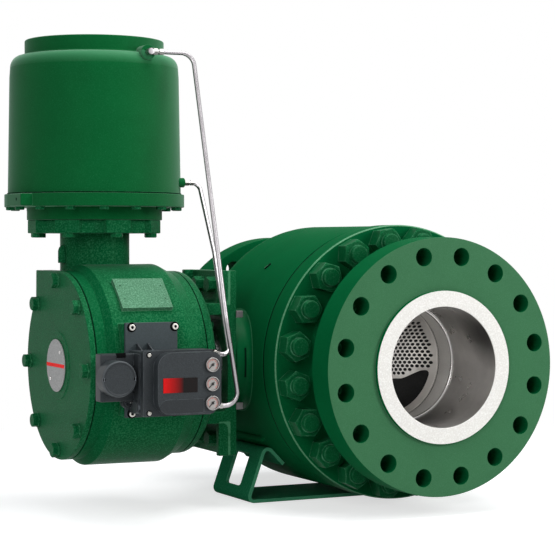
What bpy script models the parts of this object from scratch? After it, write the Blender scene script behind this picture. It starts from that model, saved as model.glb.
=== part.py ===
"""Ball control valve with a piston actuator and a positioner.

Metres, +Z up. The foot rests on z = 0 and the ball's centre is straight above the origin. The pipeline
runs along Y with the bolted closure at -Y, and the stem points to the actuator at -X.
"""
import math

import bmesh
import bpy
from mathutils import Matrix, Vector

# Gap between touching pieces, running clearance of the turning and sliding ones, end play of the turning
# ones, and how far a cutter runs past the face it cuts.
GAP = 0.0003
RUNNING = 0.0005
END_PLAY = 0.002
PAST = 0.02

# Pipeline: 10 inch, class 900 flanges with a raised face.
PIPE_BORE_R = 0.127
FACE_TO_FACE = 0.838
FLANGE_R = 0.2725
FLANGE_THICK = 0.070
RAISED_FACE_R = 0.162
RAISED_FACE_HEIGHT = 0.007
FLANGE_HOLE_CIRCLE_R = 0.235
FLANGE_HOLE_R = 0.019
FLANGE_HOLES = 16

# Valve body and front closure.
BODY_WALL = 0.0595
BODY_SHOULDER_Y = 0.147
SHOULDER_LENGTH = 0.098
HUB_R = 0.205
JOINT_Y = -0.160
CLOSURE_STEP = 0.002
CLOSURE_THICK = 0.0655
SPIGOT_LENGTH = 0.010
BOSS_R = 0.100
BOSS_REACH = 0.0325

# Studs and heavy hex nuts of the closure.
STUDS = 20
STUD_R = 0.019
STUD_INSET = 0.0330
STUD_DEPTH = 0.053
STUD_REACH = 0.047
NUT_FLATS = 0.0565
NUT_HEIGHT = 0.035
STUD_HOLE_CLEARANCE = 0.0015
STUD_HOLE_SPARE = 0.002

# Ball, seats and attenuator.
BALL_R = 0.228
BALL_CLEARANCE = 0.010
SEAT_WIDTH = 0.023
SEAT_LENGTH = 0.0582
SEAT_CLEARANCE = 0.0012
SEAT_LAND = 0.004
CAVITY_END_SLOPE = 0.7
DOME_RIM_Y = -0.185
DOME_DEPTH = 0.065
DOME_THICK = 0.006
DOME_EDGE_DROP = 0.045
DOME_SIDE_DROP = 0.028
DOME_OPENING_HALF = 0.108
DOME_FLAT_HALF = 0.045
DOME_CORNER_R = 0.018

# Stem, trunnion and packing.
STEM_R = 0.035
STEM_TANG_R = 0.040
STEM_TIP_R = 0.018
SOCKET_DEPTH = 0.078
BEARING_R = 0.060
BEARING_CLEARANCE = 0.0115
TRUNNION_FLANGE_R = 0.085
TRUNNION_FLANGE_THICK = 0.022
BONNET_FLANGE_R = 0.072
BONNET_FLANGE_THICK = 0.032
PACKING_R = 0.050
PACKING_DEPTH = 0.042
FOLLOWER_R = 0.068
FOLLOWER_THICK = 0.012
FOLLOWER_NOSE = 0.018
FOLLOWER_LIFT = 0.004

# Foot: one bent strap under the body.
FOOT_THICK = 0.011
FOOT_CLEARANCE = 0.0055
FOOT_HALF_LENGTH = 0.287
FOOT_NEAR_Y = -0.060
FOOT_FAR_Y = 0.126
FOOT_PAD_ANGLE = math.radians(44)
FOOT_PAD_HALF = 0.030
FOOT_BEND_R = 0.018
FOOT_FOLD_R = 0.012
FOOT_WINDOW_WIDTH = 0.076
FOOT_WINDOW_LOW = 0.031
FOOT_WINDOW_HIGH = 0.102
FOOT_WINDOW_CORNER = 0.008

# Yoke between the valve and the actuator.
YOKE_DEPTH = 0.0874
YOKE_HALF_HEIGHT = 0.200
YOKE_HALF_WIDTH = 0.100
YOKE_PLATE = 0.021
YOKE_FLANGE = 0.0177
YOKE_SHELF_TOP = 0.130
YOKE_SHELF_THICK = 0.025
YOKE_LIP = 0.015
YOKE_LIP_DEPTH = 0.021
YOKE_BORE_CLEARANCE = 0.003

# Actuator drum, turned round the stem's axis. Its pieces are placed back from its rear face.
DRUM_LENGTH = 0.270
DRUM_R = 0.2147
DRUM_FLANGE_R = 0.200
DRUM_FLANGE_THICK = 0.023
DRUM_WALL = 0.0187
DRUM_MOUTH_R = 0.166
DRUM_REAR_WALL = 0.057
DRUM_MOUTH_LIP = 0.001
DRUM_MOUTH_CONE = 0.009
DRUM_CONE = 0.030
DRUM_STEP = 0.013
DRUM_TAPER = 0.0017
REAR_PLATE_R = 0.199
REAR_PLATE_THICK = 0.042
REAR_ROUND = 0.019
COVER_THICK = 0.0147
COVER_RING_R = 0.073
COVER_RING_HEIGHT = 0.0018
CORNER_START = 0.015
CORNER_WIDTH = 0.140
CORNER_STAND = 0.0006
INDICATOR_R = 0.056
INDICATOR_THICK = 0.003

# Bolts of the drum's cover.
COVER_BOLTS = 8
COVER_BOLT_R = 0.009
COVER_BOLT_INSET = 0.020
COVER_BOLT_GRIP = 0.017
COVER_BOLT_FLATS = 0.027
COVER_BOLT_HEAD = 0.012
WASHER_R = 0.0165
WASHER_THICK = 0.003

# Cylinder, neck and piston, turned round an upright axis beside the stem.
CYLINDER_BACK = 0.163
CYLINDER_Y = 0.100
NECK_R = 0.076
NECK_BORE_R = 0.050
NECK_ROOT_Z = 0.050
NECK_BORE_Z = 0.120
NECK_RISE = 0.0663
NECK_FLANGE_THICK = 0.0287
NECK_FLANGE_R = 0.148
NECK_LOBE_DEPTH = 0.014
NECK_LOBES = 8
NECK_LOBE_TURN = math.radians(11)
NECK_NOTCH_TURN = math.radians(13)
BASE_HUB_THICK = 0.028
BASE_RIM = 0.0075
BASE_THICK = 0.028
BASE_PLUG_THICK = 0.024
LUG_REACH = 0.0045
LUG_LENGTH = 0.084
LUG_SIDE = 0.008
LUG_INSET = 0.0005
CYLINDER_R = 0.1892
SHOULDER_STEP = 0.0056
CYLINDER_WALL = 0.012
CYLINDER_HEIGHT = 0.275
SHOULDER_RISE = 0.026
SHOULDER_INNER_DROP = 0.020
CAP_R = 0.152
CAP_RISE = 0.029
CAP_HEIGHT = 0.0315
CAP_WALL = 0.029
CAP_EDGE = 0.004
CAP_SEAM = 0.010
PISTON_THICK = 0.040
PISTON_REST_GAP = 0.004
ROD_R = 0.020
ROD_TIP_R = 0.012
ROD_TIP_REACH = 0.010
PORT_R = 0.0145
PORT_TOP_BACK = 0.109
PORT_TOP_DROP = 0.005
PORT_TOP_STAND = 0.028
PORT_ROOT = 0.050
PORT_SINK = 0.006
PORT_LOW_R = 0.012
PORT_LOW_Y = 0.0
PORT_LOW_RISE = 0.026
PORT_LOW_STAND = 0.0095

# Lever, crank pin and slotted crosshead. The lever swings 45 degrees to each side of level.
LEVER_R = 0.120
LEVER_REST = math.radians(-45)
LEVER_HUB_R = 0.048
LEVER_HUB_LENGTH = 0.050
LEVER_HUB_STEP = 0.002
LEVER_END_R = 0.022
LEVER_THICK = 0.020
LEVER_BACK = 0.125
PIN_R = 0.011
PIN_PROUD = 0.004
CROSSHEAD_THICK = 0.038
CROSSHEAD_WALL = 0.012
SLOT_PLAY_Y = 0.003
SLOT_PLAY_Z = 0.0041

# Name pad on the drum.
PAD_ANGLE = math.radians(45.4)
PAD_LENGTH = 0.112
PAD_WIDTH = 0.084
PAD_BACK = 0.153
PAD_STAND = 0.005
PAD_ROOT = 0.043

# Positioner.
PLATE_WIDTH = 0.115
PLATE_OVERHANG = 0.007
PLATE_LOW = -0.095
PLATE_HIGH = 0.098
PLATE_THICK = 0.008
PLATE_PAD_MARGIN = 0.002
PLATE_PAD_HEIGHT = 0.002
CASE_BACK = 0.048
CASE_WIDTH = 0.165
CASE_LOW = -0.087
CASE_HIGH = 0.045
CASE_DEPTH = 0.0655
CASE_COVER_RIM = 0.012
CASE_COVER_RISE = 0.022
CASE_CORNER_R = 0.018
CASE_SIDE_MARGIN = 0.002
RAISED_LEFT = 0.022
RAISED_MARGIN = 0.004
RAISED_CORNER_R = 0.030
RIM_CORNER_R = 0.004
TERMINAL_WIDTH = 0.075
TERMINAL_OVERLAP = 0.012
TERMINAL_LOW = -0.058
TERMINAL_HIGH = 0.038
TERMINAL_DEPTH = 0.030
TERMINAL_BACK = 0.0065
TERMINAL_CAP_INSET = 0.027
TERMINAL_CAP_Z = -0.010
TERMINAL_CAP_R = 0.0365
TERMINAL_CAP_LENGTH = 0.038
TERMINAL_CAP_EDGE = 0.004

# Gauges.
GAUGES = 3
GAUGE_INSET = 0.025
GAUGE_TOP_Z = 0.015
GAUGE_PITCH = 0.0385
GAUGE_R = 0.015
GAUGE_HEIGHT = 0.006
GAUGE_RIM = 0.002
GAUGE_DIAL_DEPTH = 0.003
POINTER_LENGTH = 0.017
POINTER_TAIL = 0.005
POINTER_WIDTH = 0.0016
POINTER_THICK = 0.0008
POINTER_LIFT = 0.0008
POINTER_REST = math.radians(225)

# Tubes between the positioner and the cylinder.
TUBE_R = 0.0048
TUBE_BEND_R = 0.026
LOW_TUBE_BEND_R = 0.018
KNEE_BEND_R = 0.060
ELBOW_BEND_R = 0.008
ELBOW_REACH = 0.0125
TOP_TUBE_HEAD_BACK = 0.012
TOP_TUBE_KNEE_BACK = 0.024
TOP_TUBE_KNEE_DEPTH = 0.0617
TOP_TUBE_KNEE_Z = 0.107
TOP_TUBE_FOOT_AHEAD = 0.009
TOP_TUBE_FOOT_DEPTH = 0.0557
TOP_TUBE_FOOT_Z = -0.073
LOW_TUBE_HEAD_AHEAD = 0.043
LOW_TUBE_KNEE_AHEAD = 0.032
LOW_TUBE_KNEE_Y = -0.106
LOW_TUBE_KNEE_Z = 0.240
LOW_TUBE_FOOT_BACK = 0.0045
LOW_TUBE_FOOT_DEPTH = 0.0367
LOW_TUBE_FOOT_Z = 0.031

# Faces round a turned piece.
STEPS_LARGE = 36
STEPS_MEDIUM = 24
STEPS_SMALL = 16
STEPS_HOLE = 12
STEPS_BOLT_HOLE = 10

# Sizes that follow from those above. Places are measured from the ball's centre.
Y_FACE = FACE_TO_FACE / 2
Y_FLANGE_FRONT = Y_FACE - RAISED_FACE_HEIGHT
Y_FLANGE_BACK = Y_FLANGE_FRONT - FLANGE_THICK
CAVITY_R = BALL_R + BALL_CLEARANCE
BODY_R = CAVITY_R + BODY_WALL
CLOSURE_R = BODY_R + CLOSURE_STEP
BOSS_FACE_X = BODY_R + BOSS_REACH
STUD_CIRCLE_R = BODY_R - STUD_INSET
PIPE_Z = BODY_R + FOOT_CLEARANCE + FOOT_THICK
SEAT_R = PIPE_BORE_R + SEAT_WIDTH
SEAT_INNER_Y = math.sqrt((BALL_R + SEAT_CLEARANCE) ** 2 - PIPE_BORE_R ** 2)
SEAT_OUTER_Y = SEAT_INNER_Y + SEAT_LENGTH
SEAT_POCKET_R = SEAT_R + RUNNING
SEAT_MOUTH_Y = math.sqrt((BALL_R + SEAT_LAND) ** 2 - SEAT_POCKET_R ** 2)
CLOSURE_FACE_Y = JOINT_Y - GAP - CLOSURE_THICK
CAVITY_END_Y = SEAT_MOUTH_Y - (CAVITY_R - SEAT_POCKET_R) * CAVITY_END_SLOPE
SPIGOT_MOUTH_R = math.sqrt(CAVITY_R ** 2 - (JOINT_Y + SPIGOT_LENGTH) ** 2)
BEARING_INNER_X = BALL_R + BEARING_CLEARANCE
SOCKET_X = BALL_R - SOCKET_DEPTH

YOKE_INNER_X = -BOSS_FACE_X - GAP
YOKE_OUTER_X = YOKE_INNER_X - YOKE_DEPTH
DRUM_REAR_X = YOKE_OUTER_X - GAP
DRUM_COVER_X = DRUM_REAR_X - DRUM_LENGTH
COVER_FACE_X = DRUM_COVER_X - GAP - COVER_THICK
COVER_RING_X = COVER_FACE_X - COVER_RING_HEIGHT
COVER_BOLT_CIRCLE_R = DRUM_FLANGE_R - COVER_BOLT_INSET
DRUM_CAVITY_R = DRUM_R - DRUM_WALL
CYLINDER_X = DRUM_REAR_X - CYLINDER_BACK
NECK_FLANGE_Z = DRUM_R + NECK_RISE
BASE_R = CYLINDER_R + BASE_RIM
BASE_LOW_Z = NECK_FLANGE_Z + NECK_FLANGE_THICK + GAP
BASE_RING_Z = BASE_LOW_Z + BASE_HUB_THICK
BASE_TOP_Z = BASE_RING_Z + BASE_THICK
PLUG_TOP_Z = BASE_TOP_Z + BASE_PLUG_THICK
PISTON_LOW_Z = PLUG_TOP_Z + PISTON_REST_GAP
CYLINDER_SHOULDER_R = CYLINDER_R - SHOULDER_STEP
CYLINDER_SHOULDER_Z = BASE_TOP_Z + CYLINDER_HEIGHT
CAP_FOOT_Z = CYLINDER_SHOULDER_Z + CAP_RISE
CAP_TOP_Z = CAP_FOOT_Z + CAP_HEIGHT
PORT_TOP_X = DRUM_REAR_X - PORT_TOP_BACK
PORT_TOP_Z = CAP_FOOT_Z - PORT_TOP_DROP
PORT_FACE_Y = CYLINDER_Y - CAP_R - PORT_TOP_STAND
PORT_LOW_WALL_X = CYLINDER_X + math.sqrt(CYLINDER_R ** 2 - (PORT_LOW_Y - CYLINDER_Y) ** 2)
PORT_LOW_FACE_X = PORT_LOW_WALL_X + PORT_LOW_STAND
PORT_LOW_Z = BASE_TOP_Z + PORT_LOW_RISE
LEVER_X = DRUM_REAR_X - LEVER_BACK
PAD_X = DRUM_REAR_X - PAD_BACK

PLATE_BACK_Y = -DRUM_R - PLATE_PAD_HEIGHT - GAP
PLATE_FRONT_Y = PLATE_BACK_Y - PLATE_THICK
CASE_BACK_Y = PLATE_FRONT_Y - GAP
CASE_FRONT_Y = CASE_BACK_Y - CASE_DEPTH
COVER_BACK_Y = CASE_FRONT_Y - GAP
COVER_FRONT_Y = COVER_BACK_Y - CASE_COVER_RIM - CASE_COVER_RISE
CASE_RIGHT_X = DRUM_REAR_X - CASE_BACK
CASE_LEFT_X = CASE_RIGHT_X - CASE_WIDTH
PLATE_LEFT_X = CASE_LEFT_X - PLATE_OVERHANG
PLATE_RIGHT_X = PLATE_LEFT_X + PLATE_WIDTH
TERMINAL_LEFT_X = CASE_LEFT_X - TERMINAL_WIDTH
TERMINAL_CAP_X = TERMINAL_LEFT_X + TERMINAL_CAP_INSET
GAUGE_X = CASE_RIGHT_X - GAUGE_INSET
AXIS_CENTRE = Vector((0, 0, PIPE_Z))
TURNS = {"X": Matrix.Rotation(math.pi / 2, 4, "Y"), "Y": Matrix.Rotation(-math.pi / 2, 4, "X"),
         "Z": Matrix()}


def clear_scene():
    for old in list(bpy.data.objects):
        bpy.data.objects.remove(old, do_unlink=True)


def collection(name):
    made = bpy.data.collections.new(name)
    bpy.context.scene.collection.children.link(made)
    return made


def material(name, colour, roughness, metallic):
    made = bpy.data.materials.new(name)
    made.use_nodes = True
    made.diffuse_color = (*colour, 1)
    shader = made.node_tree.nodes["Principled BSDF"]
    shader.inputs["Base Color"].default_value = (*colour, 1)
    shader.inputs["Roughness"].default_value = roughness
    shader.inputs["Metallic"].default_value = metallic
    return made


clear_scene()
PARTS = collection("ball_control_valve")
CUTTERS = collection("cutters")
GREEN = material("green_paint", (0.012, 0.130, 0.045), 0.45, 0.0)
SLATE = material("slate_paint", (0.045, 0.055, 0.065), 0.50, 0.0)
STAINLESS = material("stainless", (0.62, 0.62, 0.62), 0.25, 1.0)
STEEL = material("ground_steel", (0.45, 0.45, 0.46), 0.35, 1.0)
PLATED = material("plated_ball", (0.55, 0.55, 0.56), 0.20, 1.0)
DIAL = material("dial_white", (0.80, 0.80, 0.78), 0.40, 0.0)
BLACK = material("pointer_black", (0.01, 0.01, 0.01), 0.40, 0.0)


def smooth(mesh):
    mesh.shade_smooth()
    mesh.set_sharp_from_angle(angle=math.radians(30))


def place(name, mesh, finish, location=(0, 0, 0)):
    """Link a finished mesh as a part, at its place."""
    smooth(mesh)
    mesh.materials.clear()
    mesh.materials.append(finish)
    part = bpy.data.objects.new(name, mesh)
    part.location = location
    PARTS.objects.link(part)
    return part


def mesh_from(bm, name):
    mesh = bpy.data.meshes.new(name)
    bm.to_mesh(mesh)
    bm.free()
    return mesh


def add_cylinder(bm, centre, axis, radius, length, segments, spin=0.0):
    """Cylinder round centre along axis, turned about it by spin."""
    turn = Matrix.Translation(centre) @ TURNS[axis] @ Matrix.Rotation(spin, 4, "Z")
    bmesh.ops.create_cone(bm, cap_ends=True, segments=segments, radius1=radius, radius2=radius,
                          depth=length, matrix=turn)


def add_span(bm, across, axis, low, high, radius, segments, spin=0.0):
    """Cylinder along axis from low to high, through the point across."""
    centre = Vector(across)
    centre["XYZ".index(axis)] = (low + high) / 2
    add_cylinder(bm, centre, axis, radius, high - low, segments, spin)


def add_box(bm, low, high):
    low, high = Vector(low), Vector(high)
    size = Matrix.Diagonal((*(high - low), 1))
    bmesh.ops.create_cube(bm, size=1, matrix=Matrix.Translation((low + high) / 2) @ size)


def turned_mesh(name, outline, axis, steps, closed):
    """Mesh of an outline of (radius, height) points, turned round the axis through the origin."""
    bm = bmesh.new()
    corners = [bm.verts.new((radius, 0, height)) for radius, height in outline]
    for first, second in zip(corners, corners[1:]):
        bm.edges.new((first, second))
    if closed:
        bm.edges.new((corners[-1], corners[0]))
    guide = bpy.data.objects.new(name + "_guide", mesh_from(bm, name))
    CUTTERS.objects.link(guide)
    screw = guide.modifiers.new("turn", "SCREW")
    screw.steps = steps
    screw.render_steps = steps
    screw.use_merge_vertices = True
    screw.merge_threshold = 0.00005
    mesh = evaluated_mesh(guide)
    mesh.transform(TURNS[axis])
    return mesh


def evaluated_mesh(guide):
    """Mesh of an object as its modifiers leave it, in place; the object is removed."""
    depsgraph = bpy.context.evaluated_depsgraph_get()
    depsgraph.update()
    mesh = bpy.data.meshes.new_from_object(guide.evaluated_get(depsgraph))
    mesh.transform(guide.matrix_world)
    bpy.data.objects.remove(guide, do_unlink=True)
    bm = bmesh.new()
    bm.from_mesh(mesh)
    bmesh.ops.remove_doubles(bm, verts=bm.verts, dist=0.00002)
    bmesh.ops.recalc_face_normals(bm, faces=bm.faces)
    bm.to_mesh(mesh)
    bm.free()
    return mesh


def turned(name, outline, axis, finish, steps=STEPS_MEDIUM, closed=True, location=AXIS_CENTRE):
    return place(name, turned_mesh(name, outline, axis, steps, closed), finish, location)


def plate_mesh(name, outline, axis, low, high):
    """Mesh of a flat outline, given in the two other axes in order, from low to high along axis."""
    curve = bpy.data.curves.new(name, "CURVE")
    curve.dimensions = "2D"
    curve.fill_mode = "BOTH"
    curve.extrude = (high - low) / 2
    spline = curve.splines.new("POLY")
    spline.points.add(len(outline) - 1)
    for point, (across, up) in zip(spline.points, outline):
        point.co = (across, up, 0, 1)
    spline.use_cyclic_u = True
    guide = bpy.data.objects.new(name + "_guide", curve)
    columns = {"X": ((0, 1, 0), (0, 0, 1), (1, 0, 0)), "Y": ((1, 0, 0), (0, 0, 1), (0, -1, 0)),
               "Z": ((1, 0, 0), (0, 1, 0), (0, 0, 1))}[axis]
    turn = Matrix(columns).transposed().to_4x4()
    middle = Vector((0, 0, 0))
    middle["XYZ".index(axis)] = (low + high) / 2
    guide.matrix_world = Matrix.Translation(middle) @ turn
    CUTTERS.objects.link(guide)
    bpy.context.view_layer.update()
    return evaluated_mesh(guide)


def combine(part, mesh, operation, location=(0, 0, 0)):
    """Join a mesh to a part, or cut it away."""
    tool = bpy.data.objects.new(part.name + "_" + operation.lower(), mesh)
    tool.location = location
    tool.hide_render = True
    tool.display_type = "WIRE"
    CUTTERS.objects.link(tool)
    modifier = part.modifiers.new(tool.name, "BOOLEAN")
    modifier.operation = operation
    modifier.solver = "EXACT"
    modifier.object = tool


def span_mesh(across, axis, low, high, radius, segments):
    bm = bmesh.new()
    add_span(bm, across, axis, low, high, radius, segments)
    return mesh_from(bm, "span")


def box_mesh(low, high):
    bm = bmesh.new()
    add_box(bm, low, high)
    return mesh_from(bm, "box")


def cut(part, mesh, location=(0, 0, 0)):
    combine(part, mesh, "DIFFERENCE", location)


def join(part, mesh, location=(0, 0, 0)):
    combine(part, mesh, "UNION", location)


def circle_places(count, radius, first=0.0):
    """Angle and place on a circle, seen along the axis, for a ring of fasteners."""
    for step in range(count):
        angle = first + step * 2 * math.pi / count
        yield angle, radius * math.cos(angle), radius * math.sin(angle)


def arc(centre, radius, start, end, parts):
    """Points of an arc, ends included; centre and radius may differ along the two directions."""
    for step in range(parts + 1):
        angle = start + (end - start) * step / parts
        yield centre[0] + radius[0] * math.cos(angle), centre[1] + radius[1] * math.sin(angle)


def raised_face(sign):
    """Outline of an end flange from its back to its face, on the outer side."""
    return [(FLANGE_R, sign * Y_FLANGE_BACK), (FLANGE_R, sign * Y_FLANGE_FRONT),
            (RAISED_FACE_R, sign * Y_FLANGE_FRONT), (RAISED_FACE_R, sign * Y_FACE)]


def pattern_along_y(count, circle_r, hole_r, low, high, steps):
    bm = bmesh.new()
    for angle, across, up in circle_places(count, circle_r, math.pi / count):
        add_span(bm, (across, 0, PIPE_Z + up), "Y", low, high, hole_r, steps, -angle)
    return mesh_from(bm, "holes")


def flange_holes(sign):
    low, high = sorted((sign * (Y_FLANGE_BACK - PAST), sign * (Y_FLANGE_FRONT + PAST)))
    return pattern_along_y(FLANGE_HOLES, FLANGE_HOLE_CIRCLE_R, FLANGE_HOLE_R, low, high, STEPS_BOLT_HOLE)


def stud_holes(clearance, low, high, steps):
    return pattern_along_y(STUDS, STUD_CIRCLE_R, STUD_R + clearance, low, high, steps)


def valve_body():
    """Casting with the rear flange; the cavity and bores are cut from the joined outside.

    The outside is turned by half a step, so that no corner of the core falls on an edge of it.
    """
    shoulder = arc((HUB_R, BODY_SHOULDER_Y), (BODY_R - HUB_R, SHOULDER_LENGTH), math.pi / 2, 0, 4)
    outside = [(0, Y_FACE), *reversed(raised_face(1)), (HUB_R, Y_FLANGE_BACK), *shoulder,
               (BODY_R, JOINT_Y), (0, JOINT_Y)]
    body = turned("valve_body", outside, "Y", GREEN, STEPS_LARGE, closed=False)
    body.data.transform(Matrix.Rotation(math.pi / STEPS_LARGE, 4, "Y"))
    join(body, span_mesh(AXIS_CENTRE, "X", -BOSS_FACE_X, BOSS_FACE_X, BOSS_R, STEPS_MEDIUM))
    core = [(0, Y_FACE + PAST), (PIPE_BORE_R, Y_FACE + PAST), (PIPE_BORE_R, SEAT_OUTER_Y + GAP),
            (SEAT_POCKET_R, SEAT_OUTER_Y + GAP), (SEAT_POCKET_R, SEAT_MOUTH_Y), (CAVITY_R, CAVITY_END_Y),
            (CAVITY_R, JOINT_Y - PAST), (0, JOINT_Y - PAST)]
    cut(body, turned_mesh("core", core, "Y", STEPS_LARGE, closed=False), AXIS_CENTRE)
    reach = BOSS_FACE_X + PAST
    cut(body, span_mesh(AXIS_CENTRE, "X", -reach, reach, BEARING_R + RUNNING, STEPS_MEDIUM))
    cut(body, flange_holes(1))
    cut(body, stud_holes(GAP, JOINT_Y - PAST, JOINT_Y + STUD_DEPTH + STUD_HOLE_SPARE, STEPS_HOLE))


def front_tailpiece():
    """Bolted closure with the front flange, its spigot in the body's cavity."""
    spigot_r = CAVITY_R - RUNNING
    spigot_y = JOINT_Y + SPIGOT_LENGTH
    pocket_y = -SEAT_OUTER_Y - GAP
    outline = [(spigot_r, spigot_y), (spigot_r, JOINT_Y - GAP), (CLOSURE_R, JOINT_Y - GAP),
               (CLOSURE_R, CLOSURE_FACE_Y), (HUB_R, CLOSURE_FACE_Y), (HUB_R, -Y_FLANGE_BACK),
               *raised_face(-1), (PIPE_BORE_R, -Y_FACE), (PIPE_BORE_R, pocket_y), (SEAT_POCKET_R, pocket_y),
               (SEAT_POCKET_R, -SEAT_MOUTH_Y), (SPIGOT_MOUTH_R, spigot_y)]
    closure = turned("front_tailpiece", outline, "Y", GREEN, STEPS_LARGE)
    cut(closure, flange_holes(-1))
    cut(closure, stud_holes(STUD_HOLE_CLEARANCE, CLOSURE_FACE_Y - PAST, JOINT_Y + PAST, STEPS_BOLT_HOLE))


def seat(name, sign):
    """Seat ring in its pocket; its inner face follows the ball."""
    outer_y = math.sqrt((BALL_R + SEAT_CLEARANCE) ** 2 - SEAT_R ** 2)
    outline = [(SEAT_R, SEAT_OUTER_Y), (SEAT_R, outer_y), (PIPE_BORE_R, SEAT_INNER_Y),
               (PIPE_BORE_R, SEAT_OUTER_Y)]
    if sign < 0:
        outline = [(radius, -along) for radius, along in reversed(outline)]
    turned(name, outline, "Y", STEEL, STEPS_LARGE)


def ball():
    edge = math.acos(PIPE_BORE_R / BALL_R)
    sphere = turned("ball", list(arc((0, 0), (BALL_R, BALL_R), edge, -edge, 10)), "Y", PLATED, STEPS_LARGE)
    for sign in (-1, 1):
        low, high = sorted((sign * SOCKET_X, sign * (BALL_R + PAST)))
        cut(sphere, span_mesh(AXIS_CENTRE, "X", low, high, STEM_TANG_R + RUNNING, STEPS_MEDIUM))


def attenuator_dome():
    """Cap of a sphere across the ball's bore, hollow side to the front, its lower part open."""
    rim_r = PIPE_BORE_R - GAP
    sphere_r = (rim_r ** 2 + DOME_DEPTH ** 2) / (2 * DOME_DEPTH)
    sweep = math.asin(rim_r / sphere_r)
    centre_y = DOME_RIM_Y + DOME_DEPTH - sphere_r
    inner_r = sphere_r - DOME_THICK
    inner_sweep = math.acos((DOME_RIM_Y - centre_y) / inner_r)
    back = arc((0, centre_y), (sphere_r, sphere_r), math.pi / 2, math.pi / 2 - sweep, 5)
    front = arc((0, centre_y), (inner_r, inner_r), math.pi / 2 - inner_sweep, math.pi / 2, 5)
    dome = turned("attenuator_dome", [*back, *front], "Y", STEEL, STEPS_LARGE, closed=False)
    corner = (DOME_OPENING_HALF - DOME_CORNER_R, -DOME_SIDE_DROP - DOME_CORNER_R)
    half_arch = [(DOME_OPENING_HALF, -PIPE_BORE_R - PAST),
                 *arc(corner, (DOME_CORNER_R, DOME_CORNER_R), 0, math.pi / 2, 4),
                 (DOME_FLAT_HALF, -DOME_EDGE_DROP)]
    arch = half_arch + [(-across, up) for across, up in reversed(half_arch)]
    opening = plate_mesh("opening", arch, "Y", DOME_RIM_Y - PAST, DOME_RIM_Y + DOME_DEPTH + PAST)
    cut(dome, opening, AXIS_CENTRE)


def stem():
    tang_x = -SOCKET_X - END_PLAY
    shoulder_x = -BEARING_INNER_X + END_PLAY / 2
    tip_x = DRUM_COVER_X + END_PLAY
    outline = [(0, tang_x), (STEM_TANG_R, tang_x), (STEM_TANG_R, shoulder_x), (STEM_R, shoulder_x),
               (STEM_R, tip_x), (STEM_TIP_R, tip_x), (STEM_TIP_R, COVER_RING_X), (0, COVER_RING_X)]
    turned("stem", outline, "X", STEEL, STEPS_SMALL, closed=False)


def trunnion():
    """Lower bearing pin of the ball, with the flange that closes the right boss."""
    flange_x = BOSS_FACE_X + GAP
    outer_x = flange_x + TRUNNION_FLANGE_THICK
    pin_x = SOCKET_X + END_PLAY
    outline = [(0, outer_x), (TRUNNION_FLANGE_R, outer_x), (TRUNNION_FLANGE_R, flange_x),
               (BEARING_R, flange_x), (BEARING_R, BEARING_INNER_X), (STEM_TANG_R, BEARING_INNER_X),
               (STEM_TANG_R, pin_x), (0, pin_x)]
    turned("trunnion", outline, "X", GREEN, STEPS_MEDIUM, closed=False)


def bonnet():
    """Stem bearing and packing box, screwed to the left boss inside the yoke's plate."""
    flange_x = -BOSS_FACE_X - GAP
    face_x = flange_x - BONNET_FLANGE_THICK
    bore_r = STEM_R + RUNNING
    outline = [(BEARING_R, -BEARING_INNER_X), (BEARING_R, flange_x), (BONNET_FLANGE_R, flange_x),
               (BONNET_FLANGE_R, face_x), (PACKING_R, face_x), (PACKING_R, face_x + PACKING_DEPTH),
               (bore_r, face_x + PACKING_DEPTH), (bore_r, -BEARING_INNER_X)]
    turned("bonnet", outline, "X", STEEL)


def packing_follower():
    face_x = -BOSS_FACE_X - GAP - BONNET_FLANGE_THICK - FOLLOWER_LIFT
    nose_r = PACKING_R - RUNNING
    bore_r = STEM_R + RUNNING
    outline = [(nose_r, face_x + FOLLOWER_NOSE), (nose_r, face_x), (FOLLOWER_R, face_x),
               (FOLLOWER_R, face_x - FOLLOWER_THICK), (bore_r, face_x - FOLLOWER_THICK),
               (bore_r, face_x + FOLLOWER_NOSE)]
    turned("packing_follower", outline, "X", STEEL)


def stud_with_nut_mesh():
    """Stud with its nut, along +Y from its threaded end; twelve-sided rings, hexagonal on the nut."""
    nut_low = CLOSURE_FACE_Y - GAP
    nut_high = nut_low - NUT_HEIGHT
    rings = [(JOINT_Y + STUD_DEPTH, STUD_R, False), (nut_low, STUD_R, False), (nut_low, NUT_FLATS, True),
             (nut_high, NUT_FLATS, True), (nut_high, STUD_R, False),
             (CLOSURE_FACE_Y - STUD_REACH, STUD_R, False)]
    return hex_stack_mesh("stud_with_nut", rings, "Y")


def hex_stack_mesh(name, rings, axis):
    """Loft of twelve-sided rings (place along axis, radius or width over flats, hexagonal or not)."""
    bm = bmesh.new()
    loops = []
    for along, size, hexagonal in rings:
        loop = []
        for step in range(12):
            angle = step * math.pi / 6
            radius = size
            if hexagonal:
                radius = size / 2 if step % 2 == 0 else size / math.sqrt(3)
            loop.append(bm.verts.new((radius * math.cos(angle), radius * math.sin(angle), along)))
        loops.append(loop)
    for lower, upper in zip(loops, loops[1:]):
        for step in range(12):
            after = (step + 1) % 12
            bm.faces.new((lower[step], lower[after], upper[after], upper[step]))
    bm.faces.new(loops[0])
    bm.faces.new(loops[-1])
    bmesh.ops.recalc_face_normals(bm, faces=bm.faces)
    mesh = mesh_from(bm, name)
    mesh.transform(TURNS[axis])
    return mesh


def body_nuts():
    mesh = stud_with_nut_mesh()
    for number, (angle, across, up) in enumerate(circle_places(STUDS, STUD_CIRCLE_R, math.pi / STUDS), 1):
        stud = place(f"body_nut_{number:02d}", mesh, GREEN, (across, 0, PIPE_Z + up))
        stud.rotation_euler.y = -angle


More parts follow.
